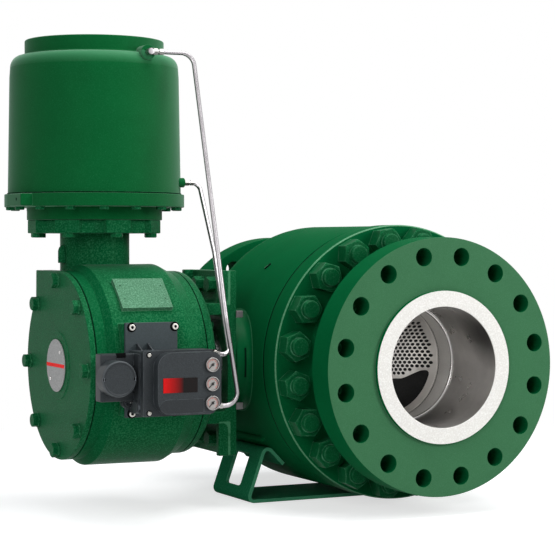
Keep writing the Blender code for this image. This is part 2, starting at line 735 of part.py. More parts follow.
def cover_bolts():
    under_head = COVER_FACE_X - GAP
    head_low = under_head - WASHER_THICK
    rings = [(COVER_FACE_X + COVER_THICK + COVER_BOLT_GRIP, COVER_BOLT_R, False),
             (under_head, COVER_BOLT_R, False), (under_head, WASHER_R, False), (head_low, WASHER_R, False),
             (head_low, COVER_BOLT_FLATS, True), (head_low - COVER_BOLT_HEAD, COVER_BOLT_FLATS, True)]
    mesh = hex_stack_mesh("cover_bolt", rings, "X")
    places = circle_places(COVER_BOLTS, COVER_BOLT_CIRCLE_R, math.pi / 2)
    for number, (_, across, up) in enumerate(places, 1):
        place(f"cover_bolt_{number}", mesh, GREEN, (0, across, PIPE_Z + up))


def bent_line(corners, radii, parts):
    """Points of a line through corners, with each inner corner rounded to its radius."""
    line = [Vector(corners[0])]
    for before, corner, after, radius in zip(corners, corners[1:], corners[2:], radii):
        corner = Vector(corner)
        back = (Vector(before) - corner).normalized()
        ahead = (Vector(after) - corner).normalized()
        half = back.angle(ahead) / 2
        centre = corner + (back + ahead).normalized() * radius / math.sin(half)
        start = corner + back * radius / math.tan(half) - centre
        end = corner + ahead * radius / math.tan(half) - centre
        start.normalize()
        end.normalize()
        line.extend(centre + start.slerp(end, step / parts) * radius for step in range(parts + 1))
    line.append(Vector(corners[-1]))
    return line


def foot():
    """One strap, bent up at both ends and folded onto the body, with a window in each leg."""
    half = FOOT_THICK / 2
    seat_r = BODY_R + GAP + half
    out = Vector((-math.cos(FOOT_PAD_ANGLE), -math.sin(FOOT_PAD_ANGLE)))
    inward = Vector((-out.y, out.x))
    pad_end = out * seat_r + inward * FOOT_PAD_HALF
    pad_fold = out * seat_r - inward * FOOT_PAD_HALF
    corners = [(pad_end.x, 0, PIPE_Z + pad_end.y), (pad_fold.x, 0, PIPE_Z + pad_fold.y),
               (-FOOT_HALF_LENGTH + half, 0, half), (0, 0, half)]
    line = bent_line(corners, (FOOT_FOLD_R, FOOT_BEND_R), 4)
    line = line + [Vector((-point.x, 0, point.z)) for point in reversed(line[:-1])]
    bm = bmesh.new()
    near = [bm.verts.new((point.x, FOOT_NEAR_Y, point.z)) for point in line]
    edges = [bm.edges.new(pair) for pair in zip(near, near[1:])]
    swept = bmesh.ops.extrude_edge_only(bm, edges=edges)
    moved = [item for item in swept["geom"] if isinstance(item, bmesh.types.BMVert)]
    bmesh.ops.translate(bm, verts=moved, vec=(0, FOOT_FAR_Y - FOOT_NEAR_Y, 0))
    bmesh.ops.recalc_face_normals(bm, faces=bm.faces)
    strap = place("foot", mesh_from(bm, "foot"), GREEN)
    thick = strap.modifiers.new("thickness", "SOLIDIFY")
    thick.thickness = FOOT_THICK
    thick.offset = 0
    thick.use_even_offset = True
    middle = (FOOT_NEAR_Y + FOOT_FAR_Y) / 2
    windows = bmesh.new()
    for sign in (-1, 1):
        low, high = sorted((sign * (FOOT_HALF_LENGTH + PAST), sign * (-pad_fold.x - FOOT_THICK)))
        add_box(windows, (low, middle - FOOT_WINDOW_WIDTH / 2, FOOT_WINDOW_LOW),
                (high, middle + FOOT_WINDOW_WIDTH / 2, FOOT_WINDOW_HIGH))
    across = [edge for edge in windows.edges if abs(edge.verts[0].co.x - edge.verts[1].co.x) > FOOT_THICK]
    bmesh.ops.bevel(windows, geom=across, offset=FOOT_WINDOW_CORNER, offset_type="OFFSET", segments=3,
                    profile=0.5, affect="EDGES", material=-1)
    cut(strap, mesh_from(windows, "windows"))


def mounting_yoke():
    """Cast yoke: a plate on the valve's boss, two shelves, and a flange on the actuator."""
    width = YOKE_HALF_WIDTH
    yoke = place("mounting_yoke", box_mesh((YOKE_OUTER_X, -width, PIPE_Z - YOKE_HALF_HEIGHT),
                                           (YOKE_INNER_X, width, PIPE_Z + YOKE_HALF_HEIGHT)), GREEN)
    plate_x = YOKE_INNER_X - YOKE_PLATE
    flange_x = YOKE_OUTER_X + YOKE_FLANGE
    window_half = YOKE_SHELF_TOP - YOKE_SHELF_THICK
    cut(yoke, box_mesh((flange_x, -width - PAST, PIPE_Z - window_half),
                       (plate_x, width + PAST, PIPE_Z + window_half)))
    for sign in (-1, 1):
        low, high = sorted((PIPE_Z + sign * YOKE_SHELF_TOP, PIPE_Z + sign * (YOKE_HALF_HEIGHT + PAST)))
        cut(yoke, box_mesh((YOKE_OUTER_X - PAST, -width - PAST, low),
                           (plate_x - YOKE_LIP_DEPTH, width + PAST, high)))
        cut(yoke, box_mesh((YOKE_OUTER_X - PAST, YOKE_LIP - width, low), (plate_x, width - YOKE_LIP, high)))
    cut(yoke, span_mesh(AXIS_CENTRE, "X", plate_x - PAST / 2, YOKE_INNER_X + PAST,
                        BONNET_FLANGE_R + YOKE_BORE_CLEARANCE, STEPS_MEDIUM))
    cut(yoke, span_mesh(AXIS_CENTRE, "X", YOKE_OUTER_X - PAST, flange_x + PAST / 2,
                        STEM_R + YOKE_BORE_CLEARANCE, STEPS_SMALL))


def corner_block(low_x, high_x):
    """Square corner of the drum's flange and cover, on the far upper side."""
    return box_mesh((low_x, CORNER_START, PIPE_Z + DRUM_FLANGE_R / 2),
                    (high_x, CORNER_WIDTH, PIPE_Z + DRUM_FLANGE_R + CORNER_STAND))


def cover_bolt_holes():
    bm = bmesh.new()
    near, deep = COVER_FACE_X - PAST, DRUM_COVER_X + COVER_BOLT_GRIP + STUD_HOLE_SPARE
    for _, across, up in circle_places(COVER_BOLTS, COVER_BOLT_CIRCLE_R, math.pi / 2):
        add_span(bm, (0, across, PIPE_Z + up), "X", near, deep, COVER_BOLT_R + GAP, STEPS_HOLE)
    return mesh_from(bm, "holes")


def neck_flange_outline():
    """Bolting flange of the neck: a disc with flat-sided lobes under its bolts."""
    points = []
    inner = NECK_FLANGE_R - NECK_LOBE_DEPTH
    for angle, _, _ in circle_places(NECK_LOBES, 1.0):
        for turn, radius in ((-NECK_NOTCH_TURN, inner), (-NECK_LOBE_TURN, NECK_FLANGE_R),
                             (NECK_LOBE_TURN, NECK_FLANGE_R), (NECK_NOTCH_TURN, inner)):
            points.append((radius * math.cos(angle + turn), radius * math.sin(angle + turn)))
    return points


def actuator_housing():
    """Drum with its neck and bolting flange, one casting; its hollow is turned by half a step, as above."""
    flange_back = DRUM_COVER_X + DRUM_FLANGE_THICK
    rear_x = DRUM_REAR_X - REAR_PLATE_THICK
    outside = [(0, DRUM_REAR_X), (REAR_PLATE_R - REAR_ROUND / 2, DRUM_REAR_X),
               (REAR_PLATE_R, DRUM_REAR_X - REAR_ROUND), (REAR_PLATE_R, rear_x),
               (DRUM_R, rear_x - DRUM_CONE), (DRUM_R - DRUM_TAPER, flange_back + DRUM_STEP),
               (DRUM_FLANGE_R, flange_back), (DRUM_FLANGE_R, DRUM_COVER_X), (0, DRUM_COVER_X)]
    housing = turned("actuator_housing", outside, "X", GREEN, STEPS_LARGE, closed=False)
    join(housing, corner_block(DRUM_COVER_X, flange_back))
    neck_place = (CYLINDER_X, CYLINDER_Y, PIPE_Z)
    flange_top = NECK_FLANGE_Z + NECK_FLANGE_THICK
    neck_top = PIPE_Z + NECK_FLANGE_Z + NECK_FLANGE_THICK / 2
    join(housing, span_mesh(neck_place, "Z", PIPE_Z + NECK_ROOT_Z, neck_top, NECK_R, STEPS_MEDIUM))
    join(housing, plate_mesh("lobes", neck_flange_outline(), "Z", NECK_FLANGE_Z, flange_top), neck_place)
    join(housing, name_pad_mesh())
    margin = PLATE_PAD_MARGIN
    pad_root_y = PAD_ROOT - DRUM_R
    join(housing, box_mesh((PLATE_LEFT_X + margin, -DRUM_R - PLATE_PAD_HEIGHT, PIPE_Z + PLATE_LOW + margin),
                           (PLATE_RIGHT_X - margin, pad_root_y, PIPE_Z + PLATE_HIGH - margin)))
    rear = DRUM_REAR_X - DRUM_REAR_WALL
    lip = flange_back + DRUM_MOUTH_LIP
    core = [(0, rear), (DRUM_CAVITY_R, rear), (DRUM_CAVITY_R, lip + DRUM_MOUTH_CONE), (DRUM_MOUTH_R, lip),
            (DRUM_MOUTH_R, DRUM_COVER_X - PAST), (0, DRUM_COVER_X - PAST)]
    hollow = turned_mesh("core", core, "X", STEPS_LARGE, closed=False)
    hollow.transform(Matrix.Rotation(math.pi / STEPS_LARGE, 4, "X"))
    cut(housing, hollow, AXIS_CENTRE)
    cut(housing, span_mesh(AXIS_CENTRE, "X", rear - PAST, DRUM_REAR_X + PAST, STEM_R + RUNNING,
                           STEPS_MEDIUM))
    cut(housing, span_mesh(neck_place, "Z", PIPE_Z + NECK_BORE_Z, PIPE_Z + flange_top + PAST, NECK_BORE_R,
                           STEPS_SMALL))
    cut(housing, cover_bolt_holes())


def name_pad_mesh():
    """Raised flat pad on the drum, bare."""
    bm = bmesh.new()
    add_box(bm, (PAD_X - PAD_LENGTH / 2, -DRUM_R - PAD_STAND, -PAD_WIDTH / 2),
            (PAD_X + PAD_LENGTH / 2, PAD_ROOT / 2 - DRUM_R, PAD_WIDTH / 2))
    turn = Matrix.Translation(AXIS_CENTRE) @ Matrix.Rotation(-PAD_ANGLE, 4, "X")
    bmesh.ops.transform(bm, matrix=turn, verts=bm.verts)
    return mesh_from(bm, "name_pad")


def housing_cover():
    back = DRUM_COVER_X - GAP
    outline = [(DRUM_FLANGE_R, back), (DRUM_FLANGE_R, COVER_FACE_X), (COVER_RING_R, COVER_FACE_X),
               (COVER_RING_R, COVER_RING_X), (STEM_TIP_R + RUNNING, COVER_RING_X),
               (STEM_TIP_R + RUNNING, back)]
    cover = turned("housing_cover", outline, "X", GREEN, STEPS_LARGE)
    join(cover, corner_block(COVER_FACE_X, back))
    cut(cover, cover_bolt_holes())


def indicator_plate():
    face = COVER_RING_X - GAP
    outline = [(0, face), (INDICATOR_R, face), (INDICATOR_R, face - INDICATOR_THICK),
               (0, face - INDICATOR_THICK)]
    turned("indicator_plate", outline, "X", DIAL, STEPS_MEDIUM, closed=False)


def lever():
    """Lever on the stem with the crank pin at its end, drawn level and set at its rest angle."""
    low, high = LEVER_X - LEVER_THICK / 2, LEVER_X + LEVER_THICK / 2
    spread = math.acos((LEVER_HUB_R - LEVER_END_R) / LEVER_R)
    outline = [*arc((0, 0), (LEVER_HUB_R, LEVER_HUB_R), spread, 2 * math.pi - spread, 12),
               *arc((LEVER_R, 0), (LEVER_END_R, LEVER_END_R), -spread, spread, 6)]
    arm = place("lever", plate_mesh("lever", outline, "X", low, high), STEEL, AXIS_CENTRE)
    half = LEVER_HUB_LENGTH / 2
    hub_r = LEVER_HUB_R - LEVER_HUB_STEP
    hub = span_mesh((0, 0, 0), "X", LEVER_X - half, LEVER_X + half, hub_r, STEPS_SMALL)
    pin_x = CYLINDER_X - CROSSHEAD_THICK / 2 - PIN_PROUD
    pin = span_mesh((0, LEVER_R, 0), "X", pin_x, LEVER_X, PIN_R, STEPS_HOLE)
    turn = Matrix.Rotation(LEVER_REST, 4, "X")
    for mesh in (arm.data, hub, pin):
        mesh.transform(turn)
    join(arm, hub, AXIS_CENTRE)
    join(arm, pin, AXIS_CENTRE)
    past = half + PAST
    cut(arm, span_mesh((0, 0, 0), "X", LEVER_X - past, LEVER_X + past, STEM_R + GAP, STEPS_SMALL),
        AXIS_CENTRE)


def piston_rod():
    """Rod with its slotted crosshead; the crank pin slides sideways in the slot."""
    pin_y = LEVER_R * math.cos(LEVER_REST)
    pin_z = LEVER_R * math.sin(LEVER_REST)
    slot_low = pin_y - PIN_R - SLOT_PLAY_Y
    slot_high = LEVER_R + PIN_R + SLOT_PLAY_Y
    slot_half = PIN_R + SLOT_PLAY_Z
    tip_z = PISTON_LOW_Z + PISTON_THICK + ROD_TIP_REACH
    root_z = pin_z + slot_half + CROSSHEAD_WALL / 3
    outline = [(0, tip_z), (ROD_TIP_R, tip_z), (ROD_TIP_R, PISTON_LOW_Z - GAP), (ROD_R, PISTON_LOW_Z - GAP),
               (ROD_R, root_z), (0, root_z)]
    centre = Vector((CYLINDER_X, CYLINDER_Y, PIPE_Z))
    rod = turned("piston_rod", outline, "Z", STEEL, STEPS_SMALL, closed=False, location=centre)
    thick = CROSSHEAD_THICK / 2
    wall = CROSSHEAD_WALL
    join(rod, box_mesh((CYLINDER_X - thick, slot_low - wall, PIPE_Z + pin_z - slot_half - wall),
                       (CYLINDER_X + thick, slot_high + wall, PIPE_Z + pin_z + slot_half + wall)))
    cut(rod, box_mesh((CYLINDER_X - thick - PAST, slot_low, PIPE_Z + pin_z - slot_half),
                      (CYLINDER_X + thick + PAST, slot_high, PIPE_Z + pin_z + slot_half)))


def piston():
    outer = CYLINDER_R - CYLINDER_WALL - RUNNING
    inner = ROD_TIP_R + GAP
    outline = [(outer, PISTON_LOW_Z + PISTON_THICK), (outer, PISTON_LOW_Z), (inner, PISTON_LOW_Z),
               (inner, PISTON_LOW_Z + PISTON_THICK)]
    turned("piston", outline, "Z", STEEL, STEPS_LARGE, location=(CYLINDER_X, CYLINDER_Y, PIPE_Z))


def cylinder():
    """Pressed shell with a dished shoulder, a raised cap and two port bosses."""
    low = BASE_TOP_Z + GAP
    inner = CYLINDER_R - CYLINDER_WALL
    seam_r = CAP_R + CAP_SEAM
    shoulder = arc((seam_r, CYLINDER_SHOULDER_Z), (CYLINDER_SHOULDER_R - seam_r, SHOULDER_RISE),
                   math.pi / 2, 0, 3)
    outline = [(0, CAP_TOP_Z), (CAP_R - CAP_EDGE, CAP_TOP_Z), (CAP_R, CAP_TOP_Z - CAP_EDGE),
               (CAP_R, CAP_FOOT_Z), *shoulder, (CYLINDER_R, low), (inner, low),
               (inner, CYLINDER_SHOULDER_Z - SHOULDER_INNER_DROP),
               (CAP_R - CAP_SEAM, CAP_TOP_Z - CAP_WALL - CAP_SEAM), (0, CAP_TOP_Z - CAP_WALL)]
    shell = turned("cylinder", outline, "Z", GREEN, STEPS_LARGE, closed=False,
                   location=(CYLINDER_X, CYLINDER_Y, PIPE_Z))
    join(shell, span_mesh((PORT_TOP_X, 0, PIPE_Z + PORT_TOP_Z), "Y", PORT_FACE_Y, PORT_FACE_Y + PORT_ROOT,
                          PORT_R, STEPS_SMALL))
    join(shell, span_mesh((0, PORT_LOW_Y, PIPE_Z + PORT_LOW_Z), "X", PORT_LOW_WALL_X - PORT_SINK,
                          PORT_LOW_FACE_X, PORT_LOW_R, STEPS_HOLE))


def cylinder_base():
    """Lower head: plug in the cylinder, ring under it, hub on the neck's flange, bush for the rod."""
    bore_r = ROD_R + RUNNING
    plug_r = CYLINDER_R - CYLINDER_WALL - RUNNING
    outline = [(plug_r, PLUG_TOP_Z), (plug_r, BASE_TOP_Z), (BASE_R, BASE_TOP_Z), (BASE_R, BASE_RING_Z),
               (NECK_FLANGE_R, BASE_RING_Z), (NECK_FLANGE_R, BASE_LOW_Z), (bore_r, BASE_LOW_Z),
               (bore_r, PLUG_TOP_Z)]
    base = turned("cylinder_base", outline, "Z", GREEN, STEPS_LARGE,
                  location=(CYLINDER_X, CYLINDER_Y, PIPE_Z))
    rim_x = CYLINDER_X - BASE_R
    rim_y = CYLINDER_Y - LUG_SIDE
    join(base, box_mesh((rim_x - LUG_REACH, rim_y - LUG_LENGTH, PIPE_Z + BASE_RING_Z + LUG_INSET),
                        (rim_x + LUG_LENGTH, rim_y, PIPE_Z + BASE_TOP_Z - LUG_INSET)))


def positioner_plate():
    plate = box_mesh((PLATE_LEFT_X, PLATE_FRONT_Y, PIPE_Z + PLATE_LOW),
                     (PLATE_RIGHT_X, PLATE_BACK_Y, PIPE_Z + PLATE_HIGH))
    place("positioner_plate", plate, SLATE)


def positioner_body():
    margin = CASE_SIDE_MARGIN
    case = box_mesh((CASE_LEFT_X, CASE_FRONT_Y, PIPE_Z + CASE_LOW + margin),
                    (CASE_RIGHT_X - margin, CASE_BACK_Y, PIPE_Z + CASE_HIGH - margin))
    body = place("positioner_body", case, SLATE)
    back = CASE_BACK_Y - TERMINAL_BACK
    join(body, box_mesh((TERMINAL_LEFT_X, back - TERMINAL_DEPTH, PIPE_Z + TERMINAL_LOW),
                        (CASE_LEFT_X + TERMINAL_OVERLAP, back, PIPE_Z + TERMINAL_HIGH)))


def terminal_cap():
    back = CASE_BACK_Y - TERMINAL_BACK - TERMINAL_DEPTH - GAP
    front = back - TERMINAL_CAP_LENGTH
    outline = [(0, back), (TERMINAL_CAP_R, back), (TERMINAL_CAP_R, front + TERMINAL_CAP_EDGE),
               (TERMINAL_CAP_R - TERMINAL_CAP_EDGE, front), (0, front)]
    turned("terminal_cap", outline, "Y", SLATE, STEPS_MEDIUM, closed=False,
           location=(TERMINAL_CAP_X, 0, PIPE_Z + TERMINAL_CAP_Z))


def rounded_outline(left, right, low, high, left_r, right_r, parts=4):
    """Rectangle with round corners; the lower right one is cut flat."""
    corners = [((left + left_r, low + left_r), left_r, math.pi),
               ((right - right_r, low + right_r), right_r, None),
               ((right - right_r, high - right_r), right_r, 0),
               ((left + left_r, high - left_r), left_r, math.pi / 2)]
    points = []
    for centre, radius, start in corners:
        if start is None:
            points += [(centre[0], low), (right, centre[1])]
        else:
            points += list(arc(centre, (radius, radius), start, start + math.pi / 2, parts))
    return points


def positioner_cover():
    """Cover with a raised middle, its rim on the case."""
    rim_front = COVER_BACK_Y - CASE_COVER_RIM
    rim = rounded_outline(CASE_LEFT_X, CASE_RIGHT_X, CASE_LOW, CASE_HIGH, RIM_CORNER_R, CASE_CORNER_R)
    centre = (0, 0, PIPE_Z)
    cover = place("positioner_cover", plate_mesh("cover", rim, "Y", rim_front, COVER_BACK_Y), SLATE, centre)
    margin = RAISED_MARGIN
    raised = rounded_outline(CASE_LEFT_X + RAISED_LEFT, CASE_RIGHT_X - margin, CASE_LOW + margin,
                             CASE_HIGH - margin, RAISED_CORNER_R, CASE_CORNER_R)
    join(cover, plate_mesh("raised", raised, "Y", COVER_FRONT_Y, COVER_BACK_Y - CASE_COVER_RIM / 2), centre)


def gauges():
    """Three pressure gauges on the cover, each with its pointer at zero."""
    back = COVER_FRONT_Y - GAP
    front = back - GAUGE_HEIGHT
    dial = front + GAUGE_DIAL_DEPTH
    inner = GAUGE_R - GAUGE_RIM
    outline = [(0, back), (GAUGE_R, back), (GAUGE_R, front), (inner, front), (inner, dial), (0, dial)]
    pointer_back = dial - POINTER_LIFT
    blade = [(-POINTER_TAIL, -POINTER_WIDTH / 2), (POINTER_LENGTH - POINTER_TAIL, -POINTER_WIDTH / 5),
             (POINTER_LENGTH - POINTER_TAIL, POINTER_WIDTH / 5), (-POINTER_TAIL, POINTER_WIDTH / 2)]
    turn = Matrix.Rotation(-POINTER_REST, 4, "Y")
    for number in range(GAUGES):
        centre = (GAUGE_X, 0, PIPE_Z + GAUGE_TOP_Z - number * GAUGE_PITCH)
        turned(f"gauge_{number + 1}", outline, "Y", DIAL, STEPS_SMALL, closed=False, location=centre)
        mesh = plate_mesh("pointer", blade, "Y", pointer_back - POINTER_THICK, pointer_back)
        mesh.transform(turn)
        place(f"gauge_pointer_{number + 1}", mesh, BLACK, centre)


def tube(name, corners, radii):
    """Tube through corners given from the ball's centre."""
    curve = bpy.data.curves.new(name, "CURVE")
    curve.dimensions = "3D"
    curve.bevel_depth = TUBE_R
    curve.bevel_resolution = 2
    curve.use_fill_caps = True
    line = bent_line(corners, radii, 4)
    spline = curve.splines.new("POLY")
    spline.points.add(len(line) - 1)
    for point, (x, y, z) in zip(spline.points, line):
        point.co = (x, y, z + PIPE_Z, 1)
    guide = bpy.data.objects.new(name + "_guide", curve)
    CUTTERS.objects.link(guide)
    bpy.context.view_layer.update()
    place(name, evaluated_mesh(guide), STAINLESS)


def tubes():
    """Stainless tubes from the cylinder's two ports to the positioner's right side."""
    side_x = CASE_RIGHT_X - CASE_SIDE_MARGIN + GAP
    elbow_y = PORT_FACE_Y - ELBOW_REACH
    foot_y = CASE_BACK_Y - TOP_TUBE_FOOT_DEPTH
    top = [(PORT_TOP_X, PORT_FACE_Y - GAP, PORT_TOP_Z), (PORT_TOP_X, elbow_y, PORT_TOP_Z),
           (DRUM_REAR_X - TOP_TUBE_HEAD_BACK, elbow_y, PORT_TOP_Z),
           (DRUM_REAR_X - TOP_TUBE_KNEE_BACK, CASE_BACK_Y - TOP_TUBE_KNEE_DEPTH, TOP_TUBE_KNEE_Z),
           (DRUM_REAR_X + TOP_TUBE_FOOT_AHEAD, foot_y, TOP_TUBE_FOOT_Z), (side_x, foot_y, TOP_TUBE_FOOT_Z)]
    tube("tube_top_port", top, (ELBOW_BEND_R, TUBE_BEND_R, KNEE_BEND_R, TUBE_BEND_R))
    foot_y = CASE_BACK_Y - LOW_TUBE_FOOT_DEPTH
    low = [(PORT_LOW_FACE_X + GAP, PORT_LOW_Y, PORT_LOW_Z),
           (DRUM_REAR_X + LOW_TUBE_HEAD_AHEAD, PORT_LOW_Y, PORT_LOW_Z),
           (DRUM_REAR_X + LOW_TUBE_KNEE_AHEAD, LOW_TUBE_KNEE_Y, LOW_TUBE_KNEE_Z),
           (DRUM_REAR_X - LOW_TUBE_FOOT_BACK, foot_y, LOW_TUBE_FOOT_Z), (side_x, foot_y, LOW_TUBE_FOOT_Z)]
    tube("tube_low_port", low, (LOW_TUBE_BEND_R, KNEE_BEND_R, LOW_TUBE_BEND_R))


valve_body()
front_tailpiece()
seat("front_seat", -1)
seat("rear_seat", 1)
ball()
attenuator_dome()
stem()
trunnion()
bonnet()
packing_follower()
body_nuts()
foot()
mounting_yoke()
actuator_housing()
housing_cover()
cover_bolts()
indicator_plate()
lever()
piston_rod()
piston()
cylinder()
cylinder_base()
positioner_plate()
positioner_body()
terminal_cap()
positioner_cover()
gauges()
tubes()
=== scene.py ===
from math import acos, cos, degrees, hypot, pi, radians, sin, sqrt, tan

import bmesh
import bpy
from mathutils import Matrix, Vector


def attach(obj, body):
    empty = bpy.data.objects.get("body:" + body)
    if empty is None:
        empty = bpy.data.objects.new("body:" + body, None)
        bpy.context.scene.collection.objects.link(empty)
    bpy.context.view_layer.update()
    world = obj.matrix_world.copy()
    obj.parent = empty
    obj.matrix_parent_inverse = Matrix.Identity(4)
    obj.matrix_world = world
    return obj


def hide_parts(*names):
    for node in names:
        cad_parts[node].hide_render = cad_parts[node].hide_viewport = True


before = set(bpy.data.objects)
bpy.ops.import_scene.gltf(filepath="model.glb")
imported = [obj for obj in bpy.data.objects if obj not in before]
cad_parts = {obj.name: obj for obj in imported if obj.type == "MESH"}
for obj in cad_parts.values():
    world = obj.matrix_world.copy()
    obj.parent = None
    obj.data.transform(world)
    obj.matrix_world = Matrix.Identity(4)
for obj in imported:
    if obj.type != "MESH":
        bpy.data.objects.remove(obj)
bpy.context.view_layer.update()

# Studio: a plain pale floor that fades into white, a big soft light overhead and two weaker ones.
# The camera stands where the photograph was taken from.
scene = bpy.context.scene
scene.view_settings.view_transform = "Standard"
camera = bpy.data.objects.new("camera", bpy.data.cameras.new("camera"))
camera.data.lens = 116.59
camera.data.clip_end = 60
camera.location = (-1.9859, -3.6221, 0.5771)
camera.rotation_euler = (radians(88.854), 0, radians(-26.483))
scene.collection.objects.link(camera)
scene.camera = camera


def feed(tree, node, values):
    """Give a node its inputs, as values or as sockets to link."""
    for key, value in values.items():
        if isinstance(value, bpy.types.NodeSocket):
            tree.links.new(value, node.inputs[key])
        else:
            node.inputs[key].default_value = value


def add_node(tree, kind, values=None, **settings):
    made = tree.nodes.new("ShaderNode" + kind)
    for key, value in settings.items():
        setattr(made, key, value)
    feed(tree, made, values or {})
    return made


def maths(tree, operation, first, second):
    return add_node(tree, "Math", {0: first, 1: second}, operation=operation).outputs[0]


def object_place(tree):
    return add_node(tree, "TexCoord").outputs["Object"]


def new_material(name):
    """An empty material and its node tree."""
    made = bpy.data.materials.new(name)
    made.use_nodes = True
    return made, made.node_tree


def seen_directly(tree):
    """1 for a ray from the camera, a mirror or glass, so that all three show the same backdrop."""
    rays = add_node(tree, "LightPath").outputs
    either = maths(tree, "MAXIMUM", rays["Is Camera Ray"], rays["Is Glossy Ray"])
    return maths(tree, "MAXIMUM", either, rays["Is Transmission Ray"])


world = bpy.data.worlds.new("studio")
world.use_nodes = True
scene.world = world
sky = world.node_tree
sky.nodes.clear()
dim = add_node(sky, "Background", {"Color": (0.90, 0.95, 1.0, 1), "Strength": 0.40})
white = add_node(sky, "Background", {"Color": (1, 1, 1, 1), "Strength": 1.0})
backdrop = add_node(sky, "MixShader", {0: seen_directly(sky), 1: dim.outputs[0], 2: white.outputs[0]})
add_node(sky, "OutputWorld", {"Surface": backdrop.outputs[0]})


def soft_light(name, place, aim, size, power):
    lamp = bpy.data.lights.new(name, "AREA")
    lamp.shape = "RECTANGLE"
    lamp.size, lamp.size_y = size
    lamp.energy = power
    lit = bpy.data.objects.new(name, lamp)
    lit.location = place
    lit.rotation_euler = (Vector(aim) - Vector(place)).to_track_quat("-Z", "Y").to_euler()
    scene.collection.objects.link(lit)


soft_light("overhead_light", (0.3, -0.6, 3.4), (-0.2, 0, 0.3), (2.6, 2.2), 104)
soft_light("right_light", (2.2, -3.0, 1.7), (0, 0, 0.4), (1.3, 1.8), 80)
soft_light("left_light", (-2.9, -2.7, 1.7), (-0.4, 0, 0.5), (1.2, 1.8), 42)

floor_cloth, tree = new_material("studio_floor")
tree.nodes.clear()
reach = add_node(tree, "VectorMath", {0: object_place(tree)}, operation="LENGTH").outputs["Value"]
fade = add_node(tree, "MapRange", {"Value": reach, "From Min": 0.7, "From Max": 1.7}).outputs[0]
cloth = add_node(tree, "BsdfDiffuse", {"Color": (0.60, 0.60, 0.60, 1)})
glow = add_node(tree, "Emission", {"Strength": 1.0})
lift = add_node(tree, "Emission", {"Strength": 0.64})
direct = seen_directly(tree)
no_lift = add_node(tree, "Emission", {"Strength": 0.0})
lift_seen = add_node(tree, "MixShader", {0: direct, 1: no_lift.outputs[0], 2: lift.outputs[0]})
lifted = add_node(tree, "AddShader", {0: cloth.outputs[0], 1: lift_seen.outputs[0]})
far = maths(tree, "MULTIPLY", fade, direct)
floor_look = add_node(tree, "MixShader", {0: far, 1: lifted.outputs[0], 2: glow.outputs[0]})
add_node(tree, "OutputMaterial", {"Surface": floor_look.outputs[0]})

floor_shape = bmesh.new()
bmesh.ops.create_grid(floor_shape, x_segments=1, y_segments=1, size=9,
                      matrix=Matrix.Translation((0, 0, -0.0004)))
floor_mesh = bpy.data.meshes.new("floor")
floor_shape.to_mesh(floor_mesh)
floor_shape.free()
floor_mesh.materials.append(floor_cloth)
floor = bpy.data.objects.new("floor", floor_mesh)
scene.collection.objects.link(floor)

# Valve body: a steel casting with the ball's cavity, two side bosses and the rear pipe flange.
# It is painted with green satin enamel outside; bore, cavity and gasket face are machined and bare.
# Places are measured from the ball's centre, PIPE, unless a call names another centre or a turn.
PIPE = Vector((0, 0, 0.314))
MERGED = 0.000002
TURN_TO = {"X": Matrix.Rotation(pi / 2, 4, "Y"), "Y": Matrix.Rotation(-pi / 2, 4, "X"), "Z": Matrix()}
LAY_ON = {"X": Matrix(((0, 0, 1), (1, 0, 0), (0, 1, 0))).to_4x4(),
          "Y": Matrix(((1, 0, 0), (0, 0, 1), (0, 1, 0))).to_4x4(), "Z": Matrix()}


def bevel(shell, items, width, segments=2, affect="EDGES", clamp=True):
    bmesh.ops.bevel(shell, geom=items, offset=width, offset_type="OFFSET", segments=segments, profile=0.5,
                    affect=affect, material=-1, clamp_overlap=clamp)


def add_shell(bm, shell, finish=0, turn=None):
    """Put a closed shell into a piece, faces outwards and all in one finish."""
    if turn is not None:
        bmesh.ops.transform(shell, matrix=turn, verts=shell.verts)
    bmesh.ops.remove_doubles(shell, verts=shell.verts, dist=MERGED)
    bmesh.ops.recalc_face_normals(shell, faces=shell.faces)
    for face in shell.faces:
        face.material_index = finish
    mesh = bpy.data.meshes.new("shell")
    shell.to_mesh(mesh)
    shell.free()
    bm.from_mesh(mesh)
    bpy.data.meshes.remove(mesh)


def lathe(bm, outline, axis="Y", centre=PIPE, steps=144, soft=0.0015, finish=0, turn=None):
    """Turn an outline of (radius, place along the axis) points; a third number rounds that corner.

    The outline is closed unless both its ends lie on the axis. A turn takes the place of axis and centre.
    """
    shell = bmesh.new()
    corners = {}
    line = []
    for point in outline:
        vert = shell.verts.new((point[0], 0, point[1]))
        line.append(vert)
        corners.setdefault(point[2] if len(point) > 2 else soft, []).append(vert)
    for pair in zip(line, line[1:]):
        shell.edges.new(pair)
    if outline[0][0] > 0:
        shell.edges.new((line[-1], line[0]))
    for radius, verts in sorted(corners.items()):
        ready = [vert for vert in verts if len(vert.link_edges) == 2 and vert.co.x > 0]
        if radius > 0 and ready:
            bevel(shell, ready, radius, 3 if radius < 0.005 else 6, "VERTICES")
    bmesh.ops.spin(shell, geom=shell.verts[:] + shell.edges[:], cent=(0, 0, 0), axis=(0, 0, 1), angle=2 * pi,
                   steps=steps, use_merge=True)
    bmesh.ops.remove_doubles(shell, verts=shell.verts, dist=MERGED)
    lay = Matrix.Translation(centre) @ TURN_TO[axis]
    add_shell(bm, shell, finish, lay if turn is None else turn)


